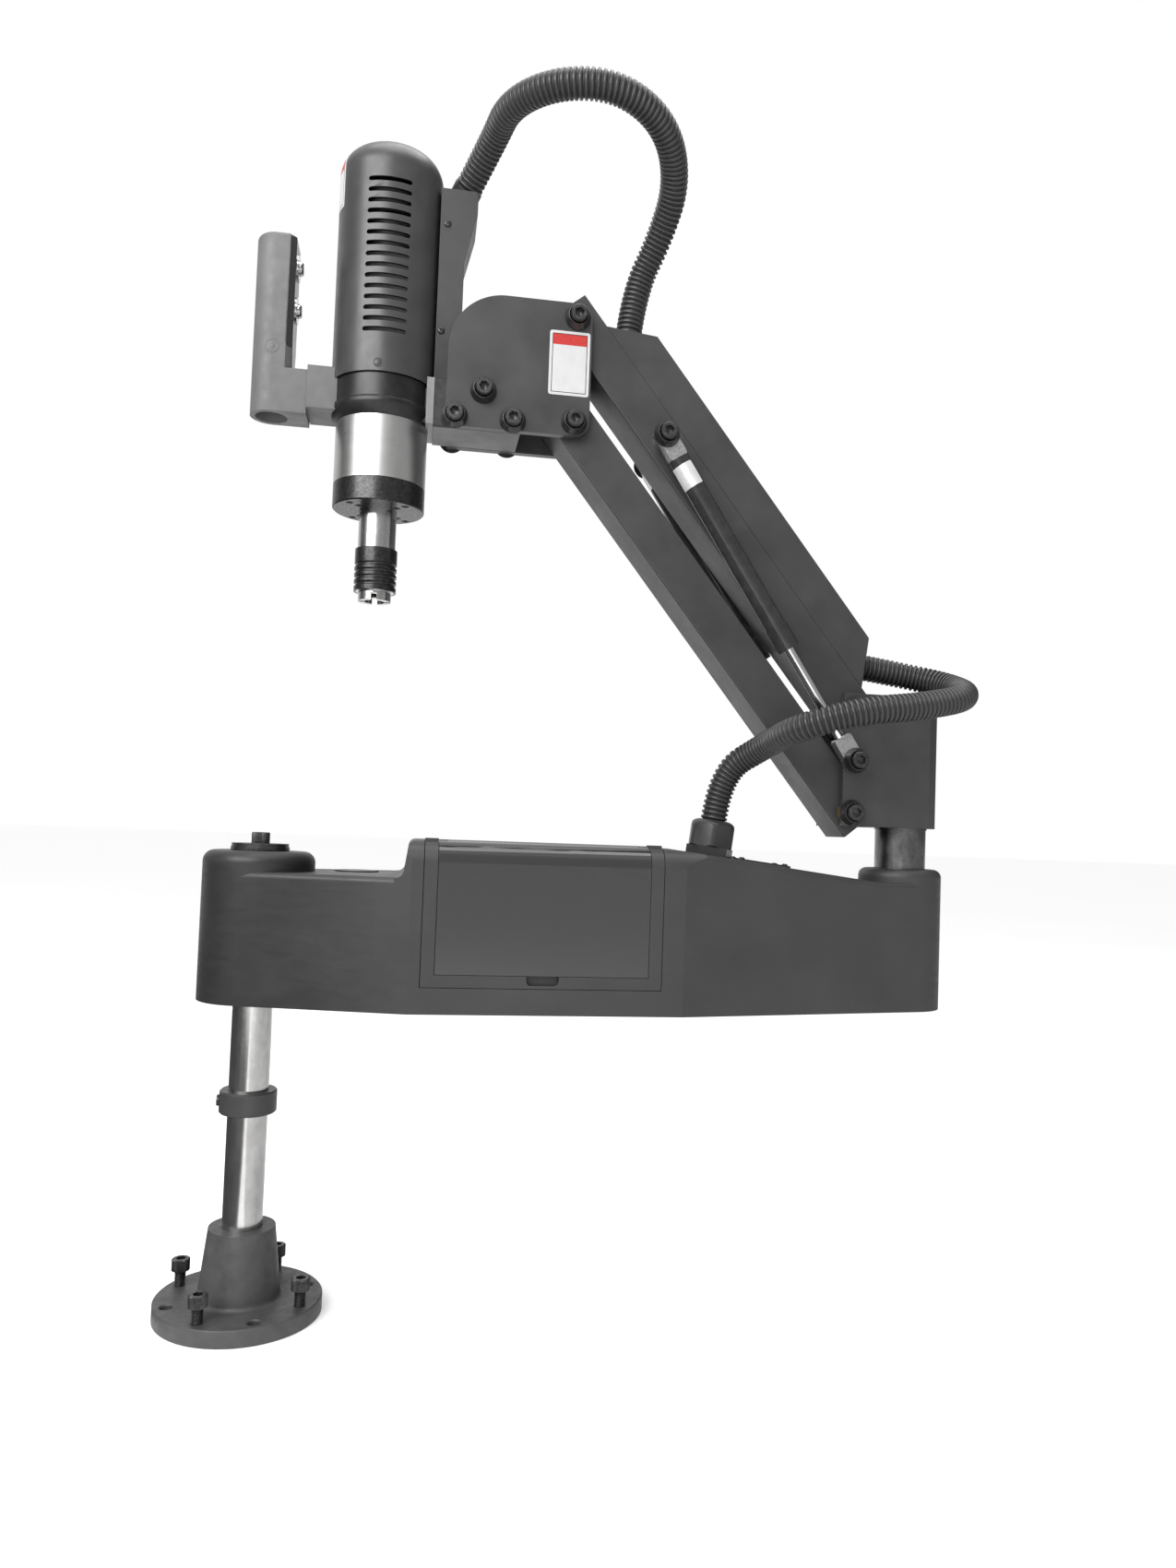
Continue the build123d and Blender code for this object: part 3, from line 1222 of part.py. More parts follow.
ridge_height = (sleeve_top_z - sleeve_bottom_z - sleeve_plain) / sleeve_ridges
with BuildPart() as chuck_sleeve:
    rod_z(head_x, 0, sleeve_dia / 2, sleeve_bottom_z, sleeve_top_z)
    for ridge in range(sleeve_ridges):
        groove_z = sleeve_bottom_z + (ridge + 1) * ridge_height
        with BuildSketch(Plane.XZ):
            with Locations((head_x + sleeve_dia / 2 + sleeve_ridge_depth / 3, groove_z)):
                Circle(sleeve_ridge_depth * 1.4)
        revolve(axis=Axis((head_x, 0, 0), (0, 0, 1)), mode=Mode.SUBTRACT)
    rod_z(head_x, 0, spindle_dia / 2 + running_clearance, sleeve_bottom_z, sleeve_top_z, Mode.SUBTRACT)


# ================================================================== handle
def grip_plan():
    """Plan of the grip: a half round at the back and a flat, chamfered front."""
    with Locations((grip_centre_x, 0)):
        Circle(grip_radius)
        Rectangle(2 * grip_radius, 2 * grip_radius, align=(Align.MIN, Align.CENTER), mode=Mode.SUBTRACT)
    Polygon((grip_centre_x, -grip_radius), (grip_front_x - grip_chamfer, -grip_radius),
            (grip_front_x, -grip_radius + grip_chamfer), (grip_front_x, grip_radius - grip_chamfer),
            (grip_front_x - grip_chamfer, grip_radius), (grip_centre_x, grip_radius), align=None)


with BuildPart() as handle_grip:
    with BuildSketch(Plane.XY.offset(grip_bottom_z)):
        grip_plan()
    extrude(amount=grip_top_z - grip_bottom_z)
    fillet(handle_grip.faces().sort_by(Axis.Z)[-1].edges(), grip_edge)
    slab(grip_centre_x, elbow_end_x, -grip_radius, grip_radius, grip_bottom_z, elbow_top_z)
    rod_z(grip_centre_x, 0, grip_bore_dia / 2, grip_bottom_z, grip_bore_top_z, Mode.SUBTRACT)
    for z in button_zs:
        rod_x(0, z, bezel_stem_dia / 2, 0, grip_front_x, Mode.SUBTRACT)

with BuildPart() as handle_clamp:
    slab(elbow_end_x, clamp_end_x, clamp_front_y, clamp_rear_y, clamp_bottom_z, clamp_top_z)
    rod_z(head_x, 0, case_dia / 2 + case_saddle_gap, saddle_floor_z, clamp_top_z, Mode.SUBTRACT)
    rod_z(head_x, 0, ring_dia / 2 + case_saddle_gap, clamp_bottom_z, case_bottom_z, Mode.SUBTRACT)

with BuildPart() as button_bezels:
    for z in button_zs:
        rod_x(0, z, bezel_dia / 2, grip_front_x, grip_front_x + bezel_proud)
        rod_x(0, z, bezel_stem_dia / 2 - tapped_clearance, grip_front_x - bezel_stem, grip_front_x)
        rod_x(0, z, button_dia / 2 + running_clearance, grip_front_x - bezel_stem + 1,
              grip_front_x + bezel_proud, Mode.SUBTRACT)


def push_button(z):
    """A plunger with a rounded face, in its bezel."""
    rod_x(0, z, button_dia / 2, grip_front_x + bezel_proud - button_sink, grip_front_x + button_proud)
    fillet(edges().filter_by(GeomType.CIRCLE).sort_by(Axis.X)[-1], button_dome)


with BuildPart() as button_forward:
    push_button(button_zs[0])

with BuildPart() as button_reverse:
    push_button(button_zs[1])


# ================================================================== hoses
def corner_radii(points):
    """The largest smooth arc at each corner of a route: 0.45 of the shorter run."""
    radii = []
    for before, here, after in zip(points, points[1:], points[2:]):
        run_in = here - before
        run_out = after - here
        turn = math.radians(run_in.get_angle(run_out))
        radii.append(0.45 * min(run_in.length, run_out.length) / math.tan(turn / 2))
    return radii


def part_volume():
    """Volume of the piece that is being made."""
    return sum(solid.volume for solid in solids())


def ribbed_hose(name, points):
    """A corrugated hose with its bore: each rib is four circles of one ruled loft."""
    points = [Vector(*point) for point in points]
    radii = corner_radii(points)
    with BuildLine(mode=Mode.PRIVATE) as route:
        FilletPolyline(*points, radius=radii)
    path = route.wire()
    length = path.length
    rib_count = int(length / rib_pitch)
    pitch = length / rib_count
    valley = (pitch - rib_crest - 2 * rib_flank) / 2
    stations = []
    for rib in range(rib_count):
        start = rib * pitch
        stations.append((start + (0 if rib == 0 else valley), hose_valley_dia / 2))
        stations.append((start + valley + rib_flank, hose_dia / 2))
        stations.append((start + valley + rib_flank + rib_crest, hose_dia / 2))
        last = rib == rib_count - 1
        stations.append((length if last else start + pitch - valley, hose_valley_dia / 2))
    steady = Vector(0, 1, 0)
    sections = []
    for along, radius in stations:
        here = path.position_at(along, position_mode=PositionMode.LENGTH)
        heading = path.tangent_at(along, position_mode=PositionMode.LENGTH)
        section = Plane(origin=here, x_dir=steady, z_dir=heading)
        steady = section.x_dir
        with BuildSketch(section) as ring:
            Circle(radius)
        sections.append(ring.sketch.face())
    loft(sections, ruled=True)
    with BuildSketch(Plane(origin=points[0], z_dir=path.tangent_at(0))) as bore:
        Circle(hose_bore_dia / 2)
    sweep(bore.sketch, path=path, mode=Mode.SUBTRACT)
    crest = math.pi * (hose_dia ** 2 - hose_bore_dia ** 2) / 4
    dip = math.pi * (hose_dia ** 2 - hose_valley_dia ** 2) / 4
    share = (pitch - rib_crest - rib_flank) / pitch
    print(name, "length", round(length, 1), "ribs", rib_count, "radii", [round(r) for r in radii])
    print(name, "volume", round(part_volume()), "section times length", round(length * (crest - dip * share)))


ferrule_foot = Vector((head_x + case_dia / 2 + wire_box_top_x) / 2, 0, wire_box_top_z)
upper_hose_start_dir = Vector(0.42, -0.66, 0.62).normalized()
ferrule_plane = Plane(origin=ferrule_foot, z_dir=upper_hose_start_dir)
with BuildPart() as hose_ferrule:
    with BuildSketch(ferrule_plane.offset(-hose_ferrule_length)):
        Circle(hose_ferrule_dia / 2)
        Circle(hose_bore_dia / 2, mode=Mode.SUBTRACT)
    extrude(amount=2 * hose_ferrule_length)
    slab(0, 2 * wire_box_top_x, -100, 100, 0, wire_box_top_z, Mode.SUBTRACT)

upper_hose_start = ferrule_foot + upper_hose_start_dir * hose_ferrule_length
upper_hose_end = cover_front_plane.origin
upper_hose_points = [
    upper_hose_start,
    upper_hose_start + upper_hose_start_dir * 48,
    ferrule_foot + Vector(38, -88, 46.5),
    ferrule_foot + Vector(77, -127, 45.5),
    ferrule_foot + Vector(130, -135, 43.5),
    upper_front + Vector(63, -110, 143.5),
    upper_front + Vector(84, -63, 122.5),
    upper_front + Vector(77, -25, 89.5),
    upper_hose_end + cover_front_plane.z_dir * 50,
    upper_hose_end,
]
with BuildPart() as upper_hose:
    ribbed_hose("upper_hose", upper_hose_points)

lower_hose_start = cover_rear_plane.origin
gland_top = gland_plane.origin + gland_plane.z_dir * (gland_nut_top + gland_dome_height)
hose_joint = upper_rear + Vector(7, -106, -6)
hose_tail_points = [
    lower_hose_start,
    lower_hose_start + cover_rear_plane.z_dir * 51,
    upper_rear + Vector(102, -33, 27),
    upper_rear + Vector(93, -82, 11),
    upper_rear + Vector(38, -102, -2),
    hose_joint,
]
with BuildPart() as hose_tail:
    ribbed_hose("hose_tail", hose_tail_points)

hose_drop_points = [
    hose_joint,
    upper_rear + Vector(-24, -110, -10),
    gland_top + Vector(48, -90, 83.5),
    gland_top + Vector(41, -28, 72.5),
    gland_top + gland_plane.z_dir * 47,
    gland_top,
]
with BuildPart() as hose_drop:
    ribbed_hose("hose_drop", hose_drop_points)


# ================================================================== files
pieces = {
    "base_flange": base_flange, "base_bolts": base_bolts, "column": column,
    "column_cap": column_cap,
    "height_collar": height_collar, "collar_screw": collar_screw,
    "arm_housing": arm_housing, "bottom_cover": bottom_cover, "arm_frame": arm_frame,
    "swing_bearings": swing_bearings, "lid_frame": lid_frame, "control_lid": control_lid,
    "lid_hinge_pins": lid_hinge_pins, "touch_screen": touch_screen, "servo_drive": servo_drive,
    "cable_gland": cable_gland, "gland_nut": gland_nut, "deck_plug": deck_plug, "slope_plate": slope_plate,
    "pillar": pillar, "pillar_washer": pillar_washer, "rear_bracket": rear_bracket,
    "rear_pivot_shafts": rear_pivot_shafts, "rear_bolts": rear_bolts,
    "upper_arm": upper_arm, "lower_arm": lower_arm, "upper_arm_bushes": upper_arm_bushes,
    "lower_arm_bushes": lower_arm_bushes, "spring_arm_bolts": spring_arm_bolts,
    "cable_cover": cable_cover, "cover_screws": cover_screws,
    "spring_cylinders": spring_cylinders, "spring_cylinder_eyes": spring_cylinder_eyes,
    "spring_rods": spring_rods, "spring_rod_eyes": spring_rod_eyes,
    "head_plates": head_plates, "front_pivot_shafts": front_pivot_shafts, "head_block": head_block,
    "head_bolts": head_bolts, "mounting_plate": mounting_plate,
    "holder_ring": holder_ring, "gear_reducer": gear_reducer, "end_ring": end_ring,
    "servo_motor": servo_motor, "motor_case": motor_case, "wire_box": wire_box, "head_screws": head_screws,
    "spindle": spindle, "chuck_body": chuck_body, "chuck_sleeve": chuck_sleeve,
    "handle_grip": handle_grip, "handle_clamp": handle_clamp, "button_bezels": button_bezels,
    "button_forward": button_forward, "button_reverse": button_reverse,
    "hose_ferrule": hose_ferrule, "upper_hose": upper_hose, "hose_tail": hose_tail, "hose_drop": hose_drop,
}
os.makedirs("parts", exist_ok=True)
for name, piece in pieces.items():
    write(name, piece)
print("pieces", len(pieces), "longest spring span", round(spring_span, 1))
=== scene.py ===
"""The looks of the arm tapping machine: its hoses, fasteners, labels, finishes, light and camera."""
import math

import bmesh
import bpy
from mathutils import Matrix, Quaternion, Vector


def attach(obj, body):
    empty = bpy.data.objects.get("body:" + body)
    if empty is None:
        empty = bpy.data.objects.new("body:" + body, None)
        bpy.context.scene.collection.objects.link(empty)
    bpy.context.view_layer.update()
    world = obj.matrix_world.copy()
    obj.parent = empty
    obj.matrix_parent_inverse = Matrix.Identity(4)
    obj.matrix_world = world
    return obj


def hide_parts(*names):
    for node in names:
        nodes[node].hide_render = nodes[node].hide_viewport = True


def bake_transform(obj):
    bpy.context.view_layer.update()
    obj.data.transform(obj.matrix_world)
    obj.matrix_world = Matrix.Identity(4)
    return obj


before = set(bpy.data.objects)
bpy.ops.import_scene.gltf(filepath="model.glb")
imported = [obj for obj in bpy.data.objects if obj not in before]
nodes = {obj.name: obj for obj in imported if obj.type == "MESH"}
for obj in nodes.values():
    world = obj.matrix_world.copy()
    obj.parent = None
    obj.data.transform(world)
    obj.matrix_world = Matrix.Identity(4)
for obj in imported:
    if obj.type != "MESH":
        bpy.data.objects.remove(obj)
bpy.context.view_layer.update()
bpy.ops.object.select_all(action="DESELECT")

# places and sizes of the CAD's parts, in millimetres but for MM itself
MM = 0.001
HEAD_X = 91.2
CASE_RADIUS = 47.7
CASE_SHOULDER = 25
CASE_SHOULDER_Z = 1037
VENTS_TOP = 1023
GRIP_X = -9.0
GRIP_RADIUS = 19
GRIP_BORE = 14.5
PLATE_FACE = 34
SPRING_FACE = 47.5
SPRING_TOP = (352.52, 807.41)
SPRING_FOOT = (545.1, 513.0)
ARM_FRONT = (267.05, 914.48)
ARM_REAR = (547.8, 562.8)
PILLAR_X = 612.5
DECK_START = (361, 424.5)
DECK_FALL = (212, -25.5)


# ------------------------------------------------------------------ the photographer's place
def photo_camera():
    """The camera where the photographer stood, a little left of the arm and level with the deck."""
    yaw = math.radians(8.923)
    pitch = math.radians(2.476)
    roll = math.radians(2.065)
    forward = Vector((math.sin(yaw) * math.cos(pitch), math.cos(yaw) * math.cos(pitch), math.sin(pitch)))
    level = Vector((math.cos(yaw), -math.sin(yaw), 0))
    upright = level.cross(forward)
    right = level * math.cos(roll) + upright * math.sin(roll)
    up = right.cross(forward)
    bpy.ops.object.camera_add(location=(0.133755, -1.044534, 0.436518))
    camera = bpy.context.object
    camera.name = "photo_camera"
    turn = Matrix((right, up, -forward)).transposed()
    camera.rotation_euler = turn.to_euler()
    camera.data.sensor_fit = "VERTICAL"
    camera.data.sensor_height = 36.0
    camera.data.lens = 25.605
    camera.data.clip_start = 0.01
    bpy.context.scene.camera = camera


photo_camera()


# ------------------------------------------------------------------ hoses
HOSE_CREST = 12.75 * MM
HOSE_VALLEY = 10.75 * MM
RIB_SHAPE = ((0.0, 0.0), (0.13, 0.06), (0.2, 0.5), (0.28, 0.88), (0.4, 1.0),
             (0.6, 1.0), (0.72, 0.88), (0.8, 0.5), (0.87, 0.06))


def smooth_line(points):
    """The line of a hose: a NURBS line with the route's points as its control points."""
    curve = bpy.data.curves.new("hose_line", "CURVE")
    curve.dimensions = "3D"
    spline = curve.splines.new("NURBS")
    spline.points.add(len(points) - 1)
    for point, place in zip(spline.points, points):
        point.co = (*place, 1)
    spline.order_u = 3
    spline.use_endpoint_u = True
    spline.resolution_u = 48
    guide = bpy.data.objects.new("hose_line", curve)
    bpy.context.collection.objects.link(guide)
    line = bpy.data.meshes.new_from_object(guide)
    path = [vertex.co.copy() for vertex in line.vertices]
    bpy.data.objects.remove(guide)
    bpy.data.meshes.remove(line)
    return path


def corrugated_hose(name, points, ribs, sides=24):
    """A ribbed conduit whose rings follow the route's smooth line."""
    path = smooth_line(points)
    reach = [0.0]
    for before, after in zip(path, path[1:]):
        reach.append(reach[-1] + (after - before).length)
    pitch = reach[-1] / ribs
    stations = [(rib + part, rise) for rib in range(ribs) for part, rise in RIB_SHAPE] + [(ribs, 0.0)]
    mesh = bmesh.new()
    crest = mesh.verts.layers.float.new("crest")
    steady = Vector((0, 1, 0))
    rings = []
    index = 0
    for turn, rise in stations:
        along = min(turn * pitch, reach[-1])
        while index < len(path) - 2 and reach[index + 1] < along:
            index += 1
        run = path[index + 1] - path[index]
        here = path[index] + run * ((along - reach[index]) / run.length)
        before = path[max(index - 1, 0)]
        after = path[min(index + 2, len(path) - 1)]
        heading = (after - before).normalized()
        steady = (steady - heading * steady.dot(heading)).normalized()
        side = heading.cross(steady)
        radius = HOSE_VALLEY + (HOSE_CREST - HOSE_VALLEY) * rise
        ring = []
        for step in range(sides):
            angle = 2 * math.pi * step / sides
            vertex = mesh.verts.new(here + (steady * math.cos(angle) + side * math.sin(angle)) * radius)
            vertex[crest] = rise
            ring.append(vertex)
        rings.append(ring)
    for low, high in zip(rings, rings[1:]):
        for step in range(sides):
            following = (step + 1) % sides
            mesh.faces.new((low[step], low[following], high[following], high[step]))
    mesh.faces.new(rings[0][::-1])
    mesh.faces.new(rings[-1])
    bmesh.ops.recalc_face_normals(mesh, faces=mesh.faces)
    for face in mesh.faces:
        face.smooth = len(face.verts) == 4
    data = bpy.data.meshes.new(name)
    mesh.to_mesh(data)
    mesh.free()
    hose = bpy.data.objects.new(name, data)
    bpy.context.collection.objects.link(hose)
    return hose, path


def offset(place, *steps):
    """A point given in millimetres from another."""
    return Vector(place) + Vector(steps) * MM


def deck_point(x):
    """The point of the sloping deck's middle line at this X, in millimetres."""
    start_x, start_z = DECK_START
    run, rise = DECK_FALL
    return Vector((x, 0, start_z + rise * (x - start_x) / run))


FERRULE_FOOT = Vector((154.95, 0, 1027.5)) * MM
FERRULE_RUN = Vector((0.42, -0.66, 0.62)).normalized()
UPPER_REAR = Vector((ARM_REAR[0], 0, ARM_REAR[1])) * MM
UPPER_FRONT = Vector((ARM_FRONT[0], 0, ARM_FRONT[1])) * MM
ARM_RUN = (UPPER_FRONT - UPPER_REAR).normalized()
ARM_UP = Vector((-ARM_RUN.z, 0, ARM_RUN.x)) * -1
ARM_LENGTH = (UPPER_FRONT - UPPER_REAR).length


def cover_end(foot, top, outward):
    """Middle and outward normal of one sloping end of the cable cover."""
    base = UPPER_REAR + ARM_RUN * foot + ARM_UP * 22.5 * MM
    peak = UPPER_REAR + ARM_RUN * top + ARM_UP * 57.5 * MM
    normal = Vector((0, 1, 0)).cross(peak - base).normalized()
    if normal.dot(ARM_RUN) * outward < 0:
        normal.negate()
    return (base + peak) / 2, normal


COVER_FRONT, COVER_FRONT_OUT = cover_end(ARM_LENGTH - 19 * MM, ARM_LENGTH - 53 * MM, 1)
COVER_REAR, COVER_REAR_OUT = cover_end(11.5 * MM, 45.5 * MM, -1)
GLAND_UP = Vector((-DECK_FALL[1], 0, DECK_FALL[0])).normalized()
GLAND_FOOT = deck_point(417.5) * MM
GLAND_TOP = GLAND_FOOT + GLAND_UP * 35 * MM
HOSE_JOINT = offset(UPPER_REAR, 7, -106, -6)

UPPER_HOSE_ROUTE = [
    FERRULE_FOOT + FERRULE_RUN * 17.5 * MM,
    FERRULE_FOOT + FERRULE_RUN * 65.5 * MM,
    offset(FERRULE_FOOT, 38, -88, 46.5),
    offset(FERRULE_FOOT, 77, -127, 45.5),
    offset(FERRULE_FOOT, 130, -135, 43.5),
    offset(UPPER_FRONT, 63, -110, 143.5),
    offset(UPPER_FRONT, 84, -63, 122.5),
    offset(UPPER_FRONT, 77, -25, 89.5),
    COVER_FRONT + COVER_FRONT_OUT * 50 * MM,
    COVER_FRONT,
]
HOSE_TAIL_ROUTE = [
    COVER_REAR,
    COVER_REAR + COVER_REAR_OUT * 51 * MM,
    offset(UPPER_REAR, 102, -33, 27),
    offset(UPPER_REAR, 93, -82, 11),
    offset(UPPER_REAR, 38, -102, -2),
    HOSE_JOINT,
]
HOSE_DROP_ROUTE = [
    HOSE_JOINT,
    offset(UPPER_REAR, -24, -110, -10),
    offset(GLAND_TOP, 48, -90, 83.5),
    offset(GLAND_TOP, 41, -28, 72.5),
    GLAND_TOP + GLAND_UP * 47 * MM,
    GLAND_TOP,
]


def lay_hose(name, node, route, ribs):
    hose, path = corrugated_hose(name, route, ribs)
    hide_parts(node)
    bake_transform(hose)
    return hose


hoses = [
    lay_hose("head_hose", "upper_hose", UPPER_HOSE_ROUTE, 96),
    lay_hose("arm_foot_hose", "hose_tail", HOSE_TAIL_ROUTE, 50),
    lay_hose("gland_hose", "hose_drop", HOSE_DROP_ROUTE, 51),
]


# ------------------------------------------------------------------ bench work
MERGE_WITHIN = 0.000005
SMOOTH_BELOW = math.radians(32)
UP = (0, 0, 1)


def select_only(*pieces):
    """Pick these pieces and nothing else, the last one active."""
    bpy.ops.object.select_all(action="DESELECT")
    for piece in pieces:
        piece.select_set(True)
    bpy.context.view_layer.objects.active = pieces[-1]


def settled(name):
    """The object just added, named, with its place, turn and size applied."""
    piece = bpy.context.object
    piece.name = name
    piece.data.name = name
    bpy.ops.object.transform_apply(location=True, rotation=True, scale=True)
    return piece


def edit_all():
    """Edit the active mesh with everything selected."""
    bpy.ops.object.mode_set(mode="EDIT")
    bpy.ops.mesh.select_all(action="SELECT")


def extrude(rise, share):
    """Extrude the selection up by a rise in millimetres and scale it round Z."""
    bpy.ops.mesh.extrude_region_move(TRANSFORM_OT_translate={"value": (0, 0, rise * MM)})
    bpy.ops.transform.resize(value=(share, share, 1), center_override=(0, 0, 0))


def pick(piece, kind, wanted):
    """In edit mode, select only the verts, edges or faces that the test wants."""
    shape = bmesh.from_edit_mesh(piece.data)
    for part in (*shape.verts, *shape.edges, *shape.faces):
        part.select = False
    for part in getattr(shape, kind):
        if wanted(part):
            part.select_set(True)
    bmesh.update_edit_mesh(piece.data)


def upright(edge):
    """Whether an edge runs along Z."""
    return abs((edge.verts[0].co - edge.verts[1].co).normalized().z) > 0.9


def clean_faces(piece):
    """Leave edit mode, merge doubles, turn the faces outwards and shade flats flat and rounds smooth."""
    if bpy.context.mode != "OBJECT":
        bpy.ops.object.mode_set(mode="OBJECT")
    select_only(piece)
    edit_all()
    bpy.ops.mesh.remove_doubles(threshold=MERGE_WITHIN)
    bpy.ops.mesh.normals_make_consistent(inside=False)
    bpy.ops.object.mode_set(mode="OBJECT")
    bpy.ops.object.shade_smooth_by_angle(angle=SMOOTH_BELOW)
    return piece


def modify(piece, kind, **settings):
    """Give a piece a modifier with these settings, and apply it."""
    select_only(piece)
    modifier = piece.modifiers.new(kind.lower(), kind)
    for name, value in settings.items():
        setattr(modifier, name, value)
    bpy.ops.object.modifier_apply(modifier=modifier.name)


def turned(name, profile, sides=64):
    """A piece turned round Z: a circle drawn up ring by ring through (radius, height) pairs in
    millimetres. A profile that ends where it starts is a ring; any other is capped at both ends."""
    closed = profile[0] == profile[-1]
    radius, height = profile[0]
    bpy.ops.mesh.primitive_circle_add(vertices=sides, radius=radius * MM, location=(0, 0, height * MM),
                                      fill_type="NOTHING" if closed else "NGON")
    piece = settled(name)
    edit_all()
    for next_radius, next_height in profile[1:]:
        extrude(next_height - height, next_radius / radius)
        radius, height = next_radius, next_height
    return clean_faces(piece)


def rod(name, sides, radius, depth, place, turn=(0, 0, 0)):
    """A cylinder or a prism round its own middle, in millimetres."""
    bpy.ops.mesh.primitive_cylinder_add(vertices=sides, radius=radius * MM, depth=depth * MM,
                                        location=[value * MM for value in place], rotation=turn)
    return settled(name)


def hexagon(name, across_flats, depth, place):
    """A hexagonal prism of this size across its flats, in millimetres."""
    return rod(name, 6, across_flats / 2 / math.cos(math.pi / 6), depth, place)


def block(name, low, high, edge=0.0, segments=2):
    """A block between two corners in millimetres, with its edges rounded over."""
    centre = [(a + b) / 2 * MM for a, b in zip(low, high)]
    size = [(b - a) * MM for a, b in zip(low, high)]
    bpy.ops.mesh.primitive_cube_add(size=1, location=centre, scale=size)
    piece = settled(name)
    if edge:
        edit_all()
        bpy.ops.mesh.bevel(offset=edge * MM, segments=segments, affect="EDGES")
    return clean_faces(piece)


def cut_with(piece, tool, kind="DIFFERENCE"):
    """Cut a piece with a tool and throw the tool away."""
    modify(piece, "BOOLEAN", operation=kind, solver="EXACT", object=tool)
    bpy.data.objects.remove(tool)
    return clean_faces(piece)


def placed_copy(master, place, direction, spin=0.0):
    """A copy with its own mesh: its foot at place, in metres, and its axis along direction."""
    select_only(master)
    bpy.ops.object.duplicate(linked=False)
    copy = bpy.context.object
    facing = Vector(direction).to_track_quat("Z", "Y") @ Quaternion((0, 0, 1), spin)
    copy.rotation_mode = "QUATERNION"
    copy.rotation_quaternion = facing
    copy.location = place
    bpy.ops.object.transform_apply(location=True, rotation=True, scale=True)
    copy.rotation_mode = "XYZ"
    return copy


def joined(name, pieces):
    """Join pieces into one, under a new name."""
    select_only(*pieces)
    if len(pieces) > 1:
        bpy.ops.object.join()
    piece = bpy.context.object
    piece.name = name
    piece.data.name = name
    return piece


def fit(piece, body, node=None):
    """Hang a finished piece on its body, and let it stand for a CAD node if it does."""
    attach(piece, body)
    if node:
        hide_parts(node)
    return piece


def throw_away(*pieces):
    """Remove masters that have been copied."""
    for piece in pieces:
        bpy.data.objects.remove(piece)


# ------------------------------------------------------------------ screws
def knurled_head(name, dia, height, key, depth, teeth=44):
    """A socket-head screw's head with a straight knurl, a chamfered rim and a hexagon socket."""
    chamfer = 0.9
    shoulder = 0.25
    body = height - chamfer
    step = math.pi / teeth

    def in_groove(vertex):
        turn = math.atan2(vertex.co.y, vertex.co.x) % (2 * step)
        return abs(turn - step) < step / 2

    head = rod(name, 2 * teeth, dia / 2, body, (0, 0, body / 2))
    edit_all()
    pick(head, "verts", in_groove)
    bpy.ops.transform.resize(value=(0.955, 0.955, 1), center_override=(0, 0, 0))
    pick(head, "faces", lambda face: face.normal.z > 0.9 and face.calc_center_median().z > body * 0.9 * MM)
    extrude(shoulder, 0.985)
    extrude(chamfer - shoulder, 0.9)
    clean_faces(head)
    cut_with(head, hexagon("socket", key, 2 * depth, (0, 0, height)))
    bpy.ops.mesh.primitive_cone_add(vertices=24, radius1=(key / 2 - 0.2) * MM, radius2=0, depth=1.6 * MM,
                                    location=(0, 0, (height - depth) * MM), rotation=(math.pi, 0, 0))
    return cut_with(head, settled("drill_point"))


def threaded_shank(name, dia, pitch, length):
    """A screw's threaded shank, hanging down from Z = 0 to -length, with flat cut ends."""
    root = dia / 2 - 0.6 * pitch
    ring = [(root, 0.0), (dia / 2, 0.42), (dia / 2, 0.58), (root, 1.0)]
    data = bpy.data.meshes.new(name)
    data.from_pydata([(radius * MM, 0, (-length - pitch + part * pitch) * MM) for radius, part in ring],
                     [(0, 1), (1, 2), (2, 3)], [])
    shank = bpy.data.objects.new(name, data)
    bpy.context.collection.objects.link(shank)
    modify(shank, "SCREW", angle=2 * math.pi, screw_offset=pitch * MM, iterations=int(length / pitch) + 3,
           steps=24, render_steps=24, use_merge_vertices=True, merge_threshold=0.00001)
    edit_all()
    bpy.ops.mesh.remove_doubles(threshold=MERGE_WITHIN)
    bpy.ops.mesh.bisect(plane_co=(0, 0, -length * MM), plane_no=UP, use_fill=True, clear_inner=True)
    bpy.ops.mesh.select_all(action="SELECT")
    bpy.ops.mesh.bisect(plane_co=(0, 0, 0), plane_no=UP, use_fill=True, clear_outer=True)
    return clean_faces(shank)


